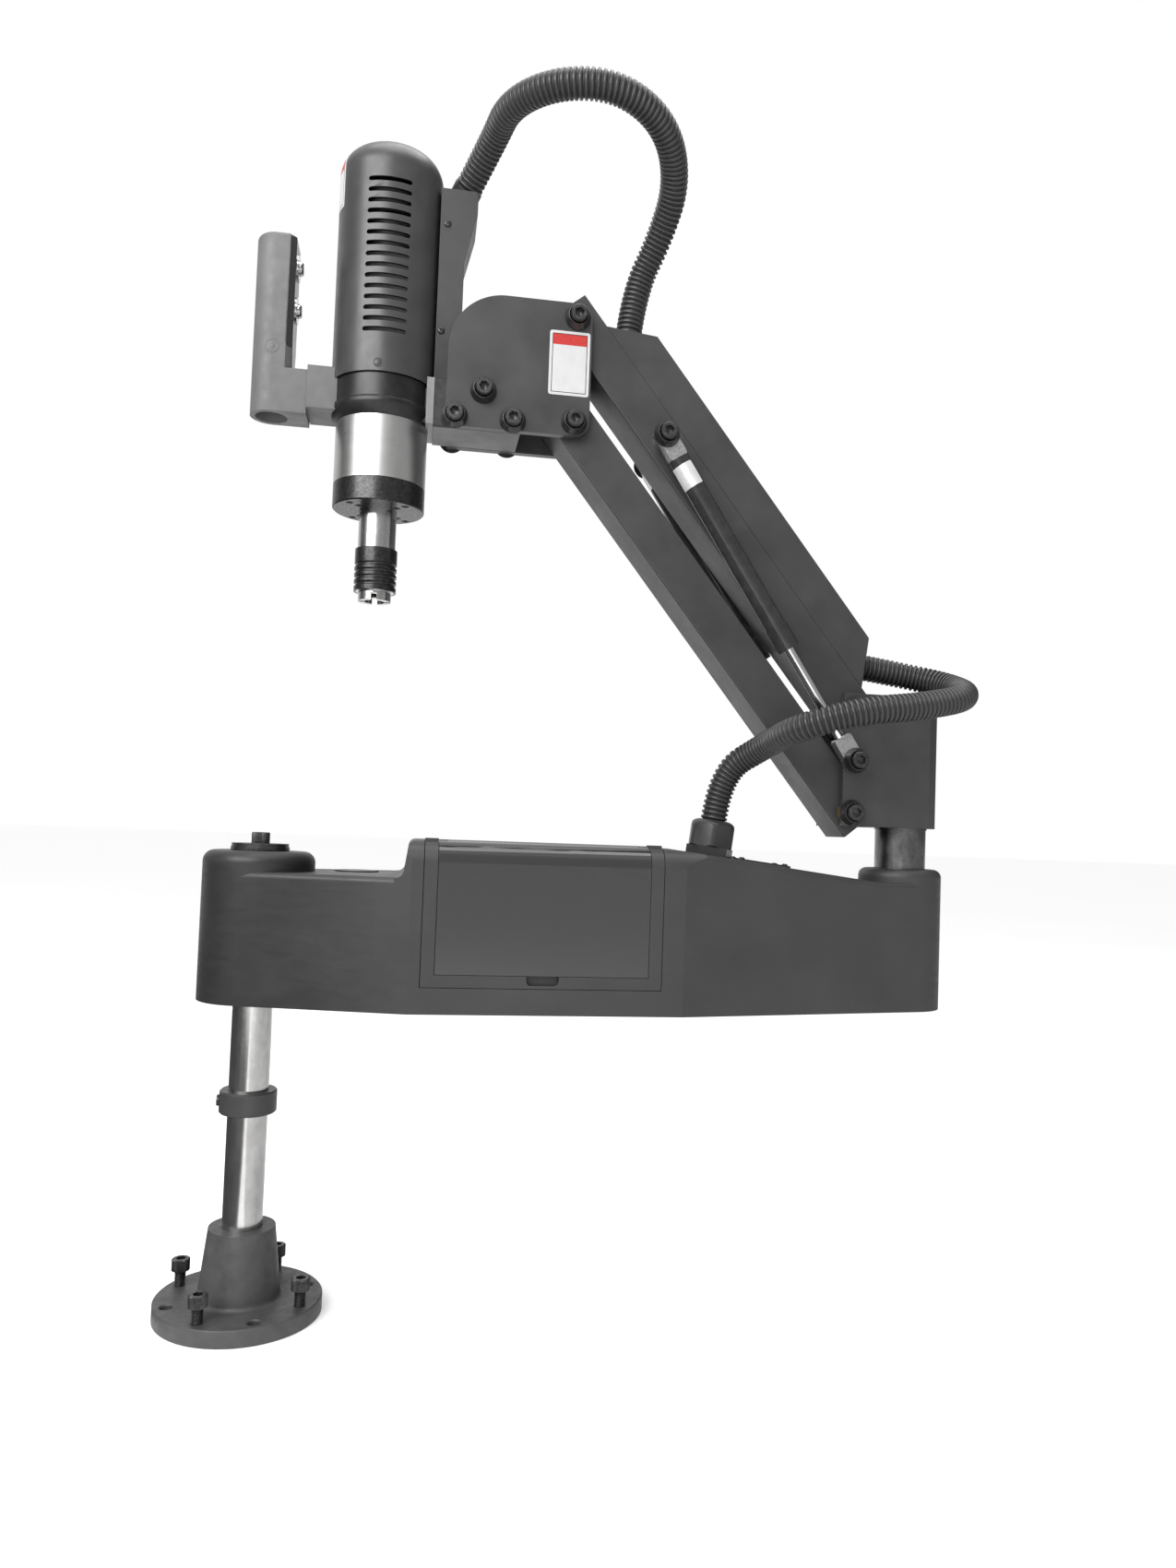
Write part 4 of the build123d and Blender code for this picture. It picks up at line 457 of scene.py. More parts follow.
def screw_fasteners():
    """All the socket-head screws and their washers, node by node."""
    head = knurled_head("screw_head", 16, 10.4, 8, 5.2)
    washer = turned("cupped_washer", [
        (5.3, 0), (12.2, 0), (12.25, 0.5), (12.1, 0.9), (10.1, 6.2), (9.75, 7.5), (9.5, 7.9), (9.2, 8.0),
        (8.8, 7.95), (8.6, 7.7), (8.5, 3.2), (8.2, 2.9), (5.3, 2.7), (5.3, 0)], 72)
    pin = turned("plain_shank", [(4.9, 0), (4.9, 2.8)], 32)
    stack = joined("washer_and_screw", [placed_copy(washer, (0, 0, 0), UP), placed_copy(pin, (0, 0, 0), UP),
                                        placed_copy(head, (0, 0, 2.6 * MM), UP)])
    front = [ARM_FRONT, (267.05, 815.78), (182.3, 837.2), (156.7, 811.8), (210.1, 811.8)]
    rear = [ARM_REAR, (547.8, 464.1)]

    def pair(points, half):
        copies = []
        for number, (x, z) in enumerate(points):
            for side in (-1, 1):
                copies.append(placed_copy(stack, Vector((x, side * half, z)) * MM, (0, side, 0),
                                          0.37 + 0.9 * number + 0.5 * side))
        return copies

    pillar_head = knurled_head("pillar_screw_head", 18, 12.4, 10, 6)
    pillar_shank = turned("pillar_screw_shank", [(5.8, -40), (5.8, 0.5)], 32)
    head_set = joined("plate_screws", pair(front, PLATE_FACE))
    rear_set = joined("bracket_screws", pair(rear, PLATE_FACE) + pair([SPRING_FOOT], SPRING_FACE)
                      + [placed_copy(pillar_head, Vector((PILLAR_X, 0, 463.1)) * MM, UP),
                         placed_copy(pillar_shank, Vector((PILLAR_X, 0, 463.5)) * MM, UP)])
    spring_set = joined("spring_screws", pair([SPRING_TOP], SPRING_FACE))
    fit(head_set, "head", "head_bolts")
    fit(rear_set, "rear_bracket", "rear_bolts")
    fit(spring_set, "upper_arm", "spring_arm_bolts")

    thread = threaded_shank("jack_thread", 9.9, 1.5, 27.5)
    cap_shank = turned("cap_screw_shank", [(4.9, -12), (4.9, 0.5)], 32)
    copies = []
    for number in range(4):
        angle = math.radians(65 + 90 * number)
        x, y = 61 * math.cos(angle), 61 * math.sin(angle)
        copies.append(placed_copy(head, Vector((x, y, 28.1)) * MM, UP, 0.7 * number))
        copies.append(placed_copy(thread, Vector((x, y, 28.5)) * MM, UP, 0.4 * number))
    copies.append(placed_copy(head, Vector((0, 0, 415.6)) * MM, UP, 0.3))
    copies.append(placed_copy(cap_shank, Vector((0, 0, 416)) * MM, UP))
    base_set = joined("levelling_screws", copies)
    fit(base_set, "base", "base_bolts")
    throw_away(head, washer, pin, stack, pillar_head, pillar_shank, thread, cap_shank)
    return [head_set, rear_set, spring_set, base_set]


def crossed_head(name, dia, height):
    """A small pan-head screw with a cross recess."""
    radius = dia / 2
    head = turned(name, [(radius * 0.92, 0), (radius, 0.12 * height), (radius, 0.35 * height),
                         (radius * 0.93, 0.62 * height), (radius * 0.75, 0.84 * height),
                         (radius * 0.45, 0.96 * height), (radius * 0.1, height)], 40)
    for long, wide in ((1.15, 0.26), (0.26, 1.15)):
        bpy.ops.mesh.primitive_cube_add(size=1, location=(0, 0, height * MM),
                                        scale=(radius * long * MM, radius * wide * MM, 1.1 * height * MM))
        cut_with(head, settled("slot"))
    return head


black_screw_sets = screw_fasteners()


# ------------------------------------------------------------------ small screws and the gland
def head_screw_set():
    """The face screws under the end ring and the crossed screws on the wire box."""
    face_screw = knurled_head("face_screw", 6.9, 3.9, 3, 2, 24)
    face_shank = turned("face_screw_shank", [(1.95, -0.2), (1.95, 12)], 24)
    crossed = crossed_head("crossed_screw", 6.6, 2.1)
    crossed_shank = turned("crossed_screw_shank", [(1.9, -5), (1.9, 0.4)], 24)
    copies = []
    for radius in (35, 24):
        for number in range(4):
            angle = math.radians(45 + 90 * number)
            place = Vector((HEAD_X + radius * math.cos(angle), radius * math.sin(angle), 730.7)) * MM
            copies.append(placed_copy(face_screw, place, (0, 0, -1), number))
            copies.append(placed_copy(face_shank, place, UP))
    face_set = joined("ring_face_screws", copies)
    copies = []
    for number, (x, z) in enumerate(((143.5, 994.0), (141.5, 893.0))):
        for side in (-1, 1):
            place = Vector((x, side * 25, z)) * MM
            copies.append(placed_copy(crossed, place, (0, side, 0), 0.4 + number))
            copies.append(placed_copy(crossed_shank, place, (0, side, 0)))
    box_set = joined("wire_box_screws", copies)
    fit(face_set, "head", "head_screws")
    fit(box_set, "head")
    throw_away(face_screw, face_shank, crossed, crossed_shank)
    return [face_set, box_set]


def cover_screw_set():
    """Two button-head screws on the far side of the cable cover."""
    dome = turned("button_screw", [(3.2, 0), (3.9, 0.25), (3.7, 1.0), (2.9, 1.7), (1.7, 2.0), (1.4, 2.0)], 40)
    cut_with(dome, rod("socket", 6, 1.5, 2.4, (0, 0, 2)))
    shank = turned("button_screw_shank", [(2.4, -6.5), (2.4, 0.3)], 24)
    copies = []
    for along in (0.07, ARM_LENGTH - 0.07):
        place = UPPER_REAR + ARM_RUN * along + ARM_UP * 26.5 * MM + Vector((0, 25 * MM, 0))
        copies.append(placed_copy(dome, place, (0, 1, 0), 0.3))
        copies.append(placed_copy(shank, place, (0, 1, 0)))
    screws = joined("cover_button_screws", copies)
    fit(screws, "upper_arm", "cover_screws")
    throw_away(dome, shank)
    return screws


def domed_gland_nut():
    """The gland's hexagon nut, rounded over into a dome round the hose."""
    nut = hexagon("domed_nut", 40.4, 26, (0, 0, 13))
    edit_all()
    pick(nut, "edges", upright)
    bpy.ops.mesh.bevel(offset=2.2 * MM, segments=4, affect="EDGES")
    bpy.ops.object.mode_set(mode="OBJECT")
    dome = turned("nut_dome", [(20.8, 0), (22.0, 1.0), (22.0, 18.0), (21.6, 20.2), (20.6, 22.2), (19.0, 24.0),
                               (17.0, 25.2), (15.2, 25.8), (14.2, 26.0), (13.6, 25.6), (13.4, 24.5),
                               (13.4, 16.0), (13.4, 0), (20.8, 0)], 96)
    cut_with(nut, dome, "INTERSECT")
    modify(nut, "BEVEL", width=0.5 * MM, segments=2, limit_method="ANGLE", angle_limit=math.radians(25))
    clean_faces(nut)
    gland_nut = placed_copy(nut, GLAND_FOOT + GLAND_UP * 9 * MM, GLAND_UP, math.radians(20))
    gland_nut.name = "domed_gland_nut"
    throw_away(nut)
    return fit(gland_nut, "swing_arm", "gland_nut")


head_screws = head_screw_set()
cover_screws = cover_screw_set()
gland_nut = domed_gland_nut()


# ------------------------------------------------------------------ labels and trim
def film(name, width, height, thick, corner, foot=0.0, columns=1, rows=1):
    """A thin sheet in X and Y with rounded corners, its back at the height of its foot."""
    bpy.ops.mesh.primitive_grid_add(x_subdivisions=columns, y_subdivisions=rows, size=1,
                                    location=(0, 0, foot * MM))
    sheet = settled(name)
    edit_all()
    bpy.ops.transform.resize(value=(width * MM, height * MM, 1), center_override=(0, 0, 0))
    pick(sheet, "verts", lambda vertex: len(vertex.link_edges) == 2)
    bpy.ops.mesh.bevel(offset=corner * MM, segments=5, affect="VERTICES")
    bpy.ops.mesh.select_all(action="SELECT")
    bpy.ops.mesh.extrude_region_move(TRANSFORM_OT_translate={"value": (0, 0, thick * MM)})
    return clean_faces(sheet)


def lay_on(piece, surface):
    """Lay a flat piece on a surface: each point goes where the surface says, all in millimetres."""
    for vertex in piece.data.vertices:
        vertex.co = Vector(surface(*(vertex.co / MM))) * MM
    piece.data.update()
    return clean_faces(piece)


def banded_label(name, width, height, surface, columns=1, rows=1):
    """A white label with a thin printed border and a plain red band across its top."""
    outer = (width - 5, height - 5)
    line = 0.65
    inner = (outer[0] - 2 * line, outer[1] - 2 * line)
    band_height = 10
    white = film(name + "_white", width, height, 0.15, 2.2, 0, columns, rows)
    border = film(name + "_border", *outer, 0.04, 0.9, 0.15, columns, rows)
    window = film(name + "_window", *inner, 0.2, 0.6, 0.1, columns, rows)
    cut_with(border, window)
    band = film(name + "_band", inner[0], band_height, 0.04, 0.4, 0.15, columns, max(rows // 3, 1))
    for vertex in band.data.vertices:
        vertex.co.y += (inner[1] - band_height) / 2 * MM
    layers = [lay_on(layer, surface) for layer in (white, border, band)]
    for layer in layers:
        fit(layer, "head")
    return layers


def on_head_plate(x, y, z):
    """The near head plate's outer face, round the label's middle."""
    return 260.6 + x, -PLATE_FACE - z, 870.5 + y


def on_motor_case(x, y, z):
    """The left side of the motor case, and the start of its rounded shoulder."""
    turn = math.radians(6) + x / CASE_RADIUS
    radius, height = CASE_RADIUS + z, 1024.5 + y
    if height > CASE_SHOULDER_Z:
        lean = (height - CASE_SHOULDER_Z) / CASE_SHOULDER
        radius = CASE_RADIUS - CASE_SHOULDER + (CASE_SHOULDER + z) * math.cos(lean)
        height = CASE_SHOULDER_Z + (CASE_SHOULDER + z) * math.sin(lean)
    return HEAD_X - radius * math.cos(turn), -radius * math.sin(turn), height


def on_near_spring(x, y, z):
    """The near spring cylinder's side, with Y up along it towards its upper eye."""
    run = Vector((SPRING_FOOT[0] - SPRING_TOP[0], 0, SPRING_FOOT[1] - SPRING_TOP[1])).normalized()
    across = Vector((-run.z, 0, run.x))
    turn = math.radians(-28) + x / 10
    middle = Vector((SPRING_TOP[0], -41.5, SPRING_TOP[1])) + run * (42.5 - y)
    return middle + (across * math.sin(turn) - Vector((0, math.cos(turn), 0))) * (10 + z)


def on_grip_side(x, y, z):
    """The grip's near side: flat in front of its middle and round behind it."""
    if x > 0:
        return GRIP_X + x, -GRIP_RADIUS - z, 866 + y
    turn = x / GRIP_RADIUS
    reach = GRIP_RADIUS + z
    return GRIP_X + reach * math.sin(turn), -reach * math.cos(turn), 866 + y


def spring_label():
    """A blank foil label wrapped round the near spring cylinder."""
    foil = film("spring_foil_label", 25, 23, 0.12, 1.4, 0, 24, 1)
    return fit(lay_on(foil, on_near_spring), "spring_cylinders")


def grip_marks():
    """The round mark moulded in the grip's near side."""
    ring = turned("grip_ring", [(5.1, -0.3), (6.7, -0.3), (6.6, 0.1), (6.3, 0.24), (5.9, 0.28), (5.5, 0.24),
                                (5.2, 0.1), (5.1, -0.3)], 48)
    dot = turned("grip_dot", [(2.6, -0.3), (2.6, 0.02), (2.3, 0.16), (1.2, 0.2)], 32)
    mark = joined("grip_mark", [ring, dot])
    return fit(lay_on(mark, on_grip_side), "head")


def grip_panel():
    """The glossy strip let into the grip's front, with its two button holes."""
    panel = block("grip_panel", (2.4, -19.4, 848), (8.5, 19.4, 971.5))
    edit_all()
    pick(panel, "edges", lambda edge: upright(edge) and edge.verts[0].co.x > 8 * MM)
    bpy.ops.mesh.bevel(offset=5.1 * MM, segments=1, affect="EDGES")
    pick(panel, "edges", lambda edge: min(edge.verts[0].co.z, edge.verts[1].co.z) > 971 * MM
         and max(edge.verts[0].co.x, edge.verts[1].co.x) > 3 * MM
         and (edge.verts[0].co - edge.verts[1].co).length > 1 * MM)
    bpy.ops.mesh.bevel(offset=2.4 * MM, segments=3, affect="EDGES")
    bpy.ops.mesh.select_all(action="SELECT")
    bpy.ops.mesh.bisect(plane_co=(0, 0, 872 * MM), plane_no=UP)
    bpy.ops.object.mode_set(mode="OBJECT")
    for vertex in panel.data.vertices:
        if vertex.co.z < 850 * MM:
            vertex.co.y *= 0.72
    clean_faces(panel)
    for height in (948, 908):
        cut_with(panel, rod("hole", 64, 12.05, 30, (8, 0, height), (0, math.pi / 2, 0)))
    return fit(panel, "head")


def case_plug():
    """The round plug low on the front of the motor case."""
    plug = turned("case_plug", [(4.5, -1.0), (4.5, 0.1), (4.35, 0.22), (3.7, 0.26), (3.55, 0.12), (3.3, 0.1),
                                (3.1, 0.22), (0.6, 0.3)], 48)
    placed = placed_copy(plug, Vector((87.4, -47.55, 848.5)) * MM, (0, -1, 0))
    placed.name = "motor_case_plug"
    throw_away(plug)
    return fit(placed, "head")


def on_head_axis(name, profile, sides):
    """A piece turned round the spindle's axis and hung on the head."""
    piece = turned(name, profile, sides)
    for vertex in piece.data.vertices:
        vertex.co.x += HEAD_X * MM
    return fit(piece, "head")


def ring_flange():
    """The holder ring's wider foot, coned down to the reducer."""
    return on_head_axis("ring_flange", [
        (45.2, 820.5), (46.9, 819.2), (47.4, 817.8), (47.4, 813.8), (42.5, 804.8), (40, 804.8), (40, 820.5),
        (45.2, 820.5)], 96)


def encoder_cap():
    """The cap over the motor's encoder, near black as painted shade, which closes the view through the upper
    vents.
    """
    return on_head_axis("encoder_cap", [
        (0.5, 995.4), (33, 995.4), (35, 997.4), (35, 1024), (33, 1029), (28, 1032), (0.5, 1033)], 48)


def screen_glass():
    """The glass that fills the touch screen's recess, with the darker display under it."""
    glass = block("screen_glass", (177.3, -55.95, 329.8), (325.2, -55.0, 401.2), 0.25)
    display = block("screen_display", (185, -56.0, 336), (317.5, -55.9, 395), 0.02, 1)
    fit(glass, "swing_arm")
    fit(display, "swing_arm")
    return [glass, display]


def slope_plate_screws():
    """Four small crossed screws that hold the plate on the sloping deck."""
    crossed = crossed_head("deck_screw", 5.6, 1.6)
    fall = Vector((DECK_FALL[0], 0, DECK_FALL[1])).normalized()
    centre = deck_point(467.5) + GLAND_UP * 2.4
    copies = []
    for number, (along, across) in enumerate(((-21.5, -15), (21.5, -15), (21.5, 15), (-21.5, 15))):
        place = (centre + fall * along + Vector((0, across, 0))) * MM
        copies.append(placed_copy(crossed, place, GLAND_UP, 0.5 * number))
    throw_away(crossed)
    return fit(joined("slope_plate_screws", copies), "swing_arm")


plate_label = banded_label("plate_label", 37.8, 60.6, on_head_plate)
case_label = banded_label("case_label", 38.2, 49, on_motor_case, 24, 24)
foil_label = spring_label()
mould_mark = grip_marks()
grip_strip = grip_panel()
plug = case_plug()
glass, display = screen_glass()
deck_screws = slope_plate_screws()
flange = ring_flange()
motor_cap = encoder_cap()


# ------------------------------------------------------------------ finishes
def grey(level, warmth=0.0):
    """A near-neutral colour."""
    return (level * (1 + warmth), level, level * (1 - warmth))


def shader_node(tree, kind, inputs=None, **settings):
    """A new node in a shader tree. Each input is given a plain value or another node's output."""
    node = tree.nodes.new("ShaderNode" + kind)
    for name, value in settings.items():
        setattr(node, name, value)
    for socket, value in (inputs or {}).items():
        if isinstance(value, bpy.types.NodeSocket):
            tree.links.new(value, node.inputs[socket])
        else:
            node.inputs[socket].default_value = value
    return node


class Finish:
    """One finish being mixed: a material, its shader and the patterns that feed it."""

    def __init__(self, name, colour, roughness, metallic=0.0):
        self.material = bpy.data.materials.new(name)
        self.material.use_nodes = True
        self.material.diffuse_color = (*colour, 1)
        self.tree = self.material.node_tree
        self.shader = self.tree.nodes["Principled BSDF"]
        self.set("Base Color", (*colour, 1))
        self.set("Roughness", roughness)
        self.set("Metallic", metallic)

    def set(self, socket, value):
        """A plain value straight on the shader."""
        self.shader.inputs[socket].default_value = value

    def link(self, source, socket):
        """A pattern that feeds the shader."""
        self.tree.links.new(source, self.shader.inputs[socket])

    def node(self, kind, inputs=None, **settings):
        return shader_node(self.tree, kind, inputs, **settings)

    def place(self, grain=(1, 1, 1), centre=(0, 0, 0), turn=(0, 0, 0)):
        """Object coordinates measured in grains of the given size, in millimetres."""
        return self.node("Mapping", {
            "Location": [value * MM for value in centre], "Rotation": turn,
            "Scale": [value * MM for value in grain], "Vector": self.node("TexCoord").outputs["Object"],
        }, vector_type="TEXTURE").outputs["Vector"]

    def cloud(self, grain, detail=2.0, roughness=0.5, centre=(0, 0, 0), turn=(0, 0, 0)):
        """Soft noise with grains of the given size in millimetres."""
        size = (grain, grain, grain) if isinstance(grain, (int, float)) else grain
        return self.node("TexNoise", {"Scale": 1.0, "Detail": detail, "Roughness": roughness,
                                      "Vector": self.place(size, centre, turn)}).outputs["Fac"]

    def from_axis(self, x, y):
        """Distance in millimetres from an upright axis."""
        flat = self.node("VectorMath", {0: self.place(centre=(x, y, 0)), 1: (1, 1, 0)}, operation="MULTIPLY")
        return self.node("VectorMath", {0: flat.outputs["Vector"]}, operation="LENGTH").outputs["Value"]

    def along(self, axis):
        """Distance in millimetres along X, Y or Z."""
        return self.node("SeparateXYZ", {"Vector": self.place()}).outputs[axis]

    def spread(self, source, low, high, start=0.3, stop=0.7):
        """Stretch a pattern's middle over a new range."""
        return self.node("MapRange", {"From Min": start, "From Max": stop, "To Min": low, "To Max": high,
                                      "Value": source}).outputs["Result"]

    def combine(self, first, second, operation="ADD", share=1.0):
        """Two patterns put together, the second at a share of its strength."""
        scaled = self.node("Math", {0: second, 1: share}, operation="MULTIPLY").outputs[0]
        return self.node("Math", {0: first, 1: scaled}, operation=operation).outputs[0]

    def paint(self, low, high, share):
        """The shader's colour, mixed from two by a share between nought and one."""
        mixed = self.node("Mix", {"A": low, "B": high, "Factor": share}, data_type="RGBA").outputs["Result"]
        self.link(mixed, "Base Color")
        return mixed

    def tint(self, source, low, high, start=0.3, stop=0.7):
        """Colour that follows a pattern between two colours."""
        return self.paint((*low, 1), (*high, 1), self.spread(source, 0, 1, start, stop))

    def paint_shade_inside(self, colour, outside, level=0.003):
        """Painted shade: near black wherever the pattern is nought, the given colour where it is one."""
        self.paint((*grey(level), 1), colour, outside)

    def sheen_of(self, source, low, high, start=0.3, stop=0.7):
        """Roughness that follows a pattern."""
        self.link(self.spread(source, low, high, start, stop), "Roughness")

    def relief(self, source, depth, strength=1.0, edge=0.0):
        """Bumps of the given depth in millimetres, over edges that are a little rounded."""
        inputs = {"Strength": strength, "Distance": depth * MM, "Height": source}
        if edge:
            inputs["Normal"] = self.node("Bevel", {"Radius": edge * MM}, samples=4).outputs["Normal"]
        self.link(self.node("Bump", inputs).outputs["Normal"], "Normal")


def mottled(name, colour, roughness, metallic, tint, sheen, relief):
    """A finish whose colour, sheen and relief each follow a cloud of their own."""
    finish = Finish(name, colour, roughness, metallic)
    for follow, (cloud, *values) in ((finish.tint, tint), (finish.sheen_of, sheen), (finish.relief, relief)):
        follow(finish.cloud(*cloud), *values)
    return finish.material


def powder_coat(name, level, roughness=0.42, edge=0.5):
    """Satin powder coat with a fine orange peel and a little handling haze."""
    coat = Finish(name, grey(level), roughness)
    haze = coat.cloud(38, 3, 0.55)
    peel = coat.cloud(1.1, 1.5, 0.5)
    coat.tint(haze, grey(level * 0.86), grey(level * 1.16))
    coat.sheen_of(coat.combine(haze, coat.cloud(4.5, 3), "ADD", 0.4),
                  roughness - 0.07, roughness + 0.09, 0.4, 1.0)
    coat.relief(peel, 0.035, 0.55, edge)
    coat.set("Specular IOR Level", 0.5)
    return coat.material


def cast_paint():
    """Black paint over sand-cast iron."""
    return mottled("cast_iron_paint", grey(0.055), 0.5, 0, ((16, 4, 0.6), grey(0.045), grey(0.07)),
                   ((6, 3), 0.42, 0.6), ((3.2, 4, 0.62), 0.16, 0.6, 0.8))


def moulded_box_plastic():
    """The box arm's moulded shell: fine spark-eroded texture with faint rub marks, and painted shade
    that darkens it towards the column and leaves it paler away from it."""
    shell = Finish("moulded_box_plastic", grey(0.03), 0.46)
    rubs = shell.cloud((22, 22, 5), 4, 0.6)
    clouds = shell.combine(shell.cloud(60, 2), rubs, "ADD", 0.35)
    # painted shade: the shell darkens from X = 150 towards the column at X = 30, where less light falls
    painted_light_falloff = shell.spread(shell.along("X"), 0, 1, 30, 150)
    shell.tint(shell.combine(clouds, painted_light_falloff, "ADD", 0.9), grey(0.01), grey(0.036), 0.45, 1.8)
    shell.sheen_of(rubs, 0.4, 0.53)
    shell.relief(shell.cloud(0.55, 2, 0.6), 0.03, 0.5, 0.7)
    return shell.material


def case_paint():
    """Satin black paint on the drawn motor case, with faint drawing lines along it, and painted shade,
    near black, inside its vent slots."""
    coat = Finish("motor_case_paint", grey(0.04), 0.33)
    lines = coat.cloud((1.2, 1.2, 90), 2, 0.5)
    paint = coat.tint(coat.cloud(30, 3), grey(0.036), grey(0.047))
    skin = coat.spread(coat.from_axis(HEAD_X, 0), 0, 1, CASE_RADIUS - 0.9, CASE_RADIUS - 0.4)
    over_vents = coat.spread(coat.along("Z"), 0, 1, VENTS_TOP, VENTS_TOP + 3)
    # painted shade: near black on the vent slots' walls, inside the case's skin and below the top of the
    # vents
    coat.paint_shade_inside(paint, coat.combine(skin, over_vents, "MAXIMUM"))
    coat.sheen_of(coat.combine(coat.cloud(12, 3), lines, "ADD", 0.3), 0.28, 0.4, 0.4, 0.9)
    coat.relief(coat.combine(coat.cloud(0.9, 2), lines, "ADD", 0.5), 0.02, 0.5, 0.35)
    return coat.material


def wire_box_paint():
    """The same paint on the wire box, with a painted shadow darkening it towards the joint at its foot."""
    coat = Finish("wire_box_paint", grey(0.034), 0.38)
    # painted shadow of the head plate: darker below Z = 925, near black below Z = 868, its edge broken by a
    # cloud
    painted_shadow = coat.combine(coat.along("Z"), coat.cloud(12, 3), "ADD", 14)
    coat.tint(painted_shadow, grey(0.011), grey(0.036), 868, 925)
    coat.sheen_of(coat.cloud(12, 3), 0.33, 0.44)
    coat.relief(coat.cloud(0.9, 2), 0.02, 0.5, 0.5)
    return coat.material


def smoky_acrylic():
    """The lid's polished dark acrylic, a little wavy, with fine dust and wipe marks."""
    lid = Finish("smoky_acrylic", grey(0.028), 0.07)
    dust = lid.cloud(0.8, 3, 0.7)
    wipes = lid.cloud((45, 9, 9), 3, 0.6, turn=(0, 0.5, 0))
    lid.tint(dust, grey(0.026), grey(0.038), 0.55, 0.8)
    lid.sheen_of(lid.combine(wipes, dust, "ADD", 0.3), 0.05, 0.16, 0.45, 0.95)
    lid.relief(lid.cloud(70, 1), 0.25, 0.12, 0.5)
    lid.set("Specular IOR Level", 0.6)
    return lid.material


def grip_rubber():
    """The grip's finely grained rubbery plastic, painted pale grey for the light falling on it from the left,
    with paler worn patches, and painted shade, near black, in its bore.
    """
    # the pale grey base colour is painted light, standing in for the light from the left
    grip = Finish("grip_rubber", grey(0.11), 0.55)
    worn = grip.cloud((40, 40, 60), 3, 0.5)
    painted_light_and_wear = grip.tint(worn, grey(0.09), grey(0.13), 0.3, 0.75)
    # painted shade: near black inside the bore
    grip.paint_shade_inside(painted_light_and_wear, grip.spread(grip.from_axis(GRIP_X, 0), 0, 1, GRIP_BORE - 0.6, GRIP_BORE - 0.1))
    grip.sheen_of(grip.cloud(9, 3), 0.46, 0.64)
    grip.relief(grip.cloud(0.45, 2, 0.6), 0.035, 0.5, 0.6)
    return grip.material


def nylon(name="black_nylon", level=0.026, roughness=0.36):
    """Moulded nylon with a slight shine."""
    return mottled(name, grey(level), roughness, 0, ((11, 3), grey(level * 0.85), grey(level * 1.25)),
                   ((5, 3), roughness - 0.07, roughness + 0.08), ((0.7, 2), 0.02, 0.4, 0.4))


def panel_plastic():
    """The grey-black housings inside the box arm."""
    return mottled("housing_plastic", grey(0.05), 0.5, 0, ((14, 3), grey(0.044), grey(0.06)),
                   ((4, 3), 0.42, 0.58), ((0.6, 2), 0.03, 0.5, 0.4))


def hose_nylon():
    """The corrugated hose: shinier crests over duller valleys, darker in the valleys than on the crests, with
    a cloud of dust.
    """
    hose = Finish("hose_nylon", grey(0.024), 0.4)
    height = hose.node("Attribute", attribute_name="crest").outputs["Fac"]
    dust = hose.cloud(7, 4, 0.6)
    hose.tint(hose.combine(height, dust, "ADD", 0.5), grey(0.014), grey(0.033), 0.1, 1.3)
    hose.sheen_of(hose.combine(height, dust, "SUBTRACT", 0.5), 0.55, 0.34, 0.0, 0.8)
    hose.relief(hose.cloud(1.2, 2), 0.02, 0.4)
    return hose.material


def turned_steel(name, level=0.6, roughness=0.2, centre=(0, 0, 0), turn=(0, 0, 0), stain=0.12, groove=0.35):
    """Bright steel ground round its own axis: fine rings, faint streaks and a few stains."""
    steel = Finish(name, grey(level, 0.01), roughness, 1.0)
    rings = steel.cloud((60, 60, 0.35), 2, 0.6, centre, turn)
    streaks = steel.cloud((2.5, 2.5, 120), 3, 0.6, centre, turn)
    stains = steel.cloud((14, 14, 26), 4, 0.65, centre, turn)
    steel.tint(steel.combine(stains, streaks, "ADD", 0.25), grey(level * (1 - stain * 2.2), 0.012),
               grey(level * (1 + stain), 0.006), 0.4, 0.85)
    steel.sheen_of(steel.combine(rings, streaks, "ADD", 0.3), roughness - 0.04, roughness + 0.08, 0.4, 0.9)
    steel.relief(rings, 0.006, groove, 0.35)
    return steel.material


def flat_ground_steel():
    """Bright steel plate ground along Z."""
    lines = ((0.4, 0.4, 70), 2, 0.6)
    return mottled("ground_plate_steel", grey(0.2), 0.42, 0.85, ((18, 4, 0.6), grey(0.17), grey(0.23)),
                   (lines, 0.36, 0.5), (lines, 0.006, 0.4, 0.35))


def zinc_plate():
    """Bright zinc with a fine milky bloom."""
    return mottled("zinc_plate", grey(0.55), 0.3, 1.0, ((2.6, 4, 0.65), grey(0.42), grey(0.66)),
                   ((1.1, 3), 0.22, 0.44), ((0.6, 2), 0.01, 0.35, 0.3))


def hard_chrome(name="hard_chrome", level=0.78):
    """Hard chrome with faint polishing lines."""
    return mottled(name, grey(level), 0.08, 1.0, ((20, 3), grey(level * 0.9), grey(level * 1.05)),
                   ((3, 3), 0.05, 0.14), ((0.8, 2), 0.003, 0.3, 0.25))


def black_oxide(name="black_oxide", level=0.07, roughness=0.36):
    """Oiled black oxide on steel, rubbed paler in patches."""
    return mottled(name, grey(level), roughness, 0.85,
                   ((3.4, 4, 0.65), grey(level * 0.75), grey(level * 1.5), 0.35, 0.75),
                   ((1.6, 3), roughness - 0.1, roughness + 0.1), ((0.5, 2), 0.012, 0.4, 0.3))


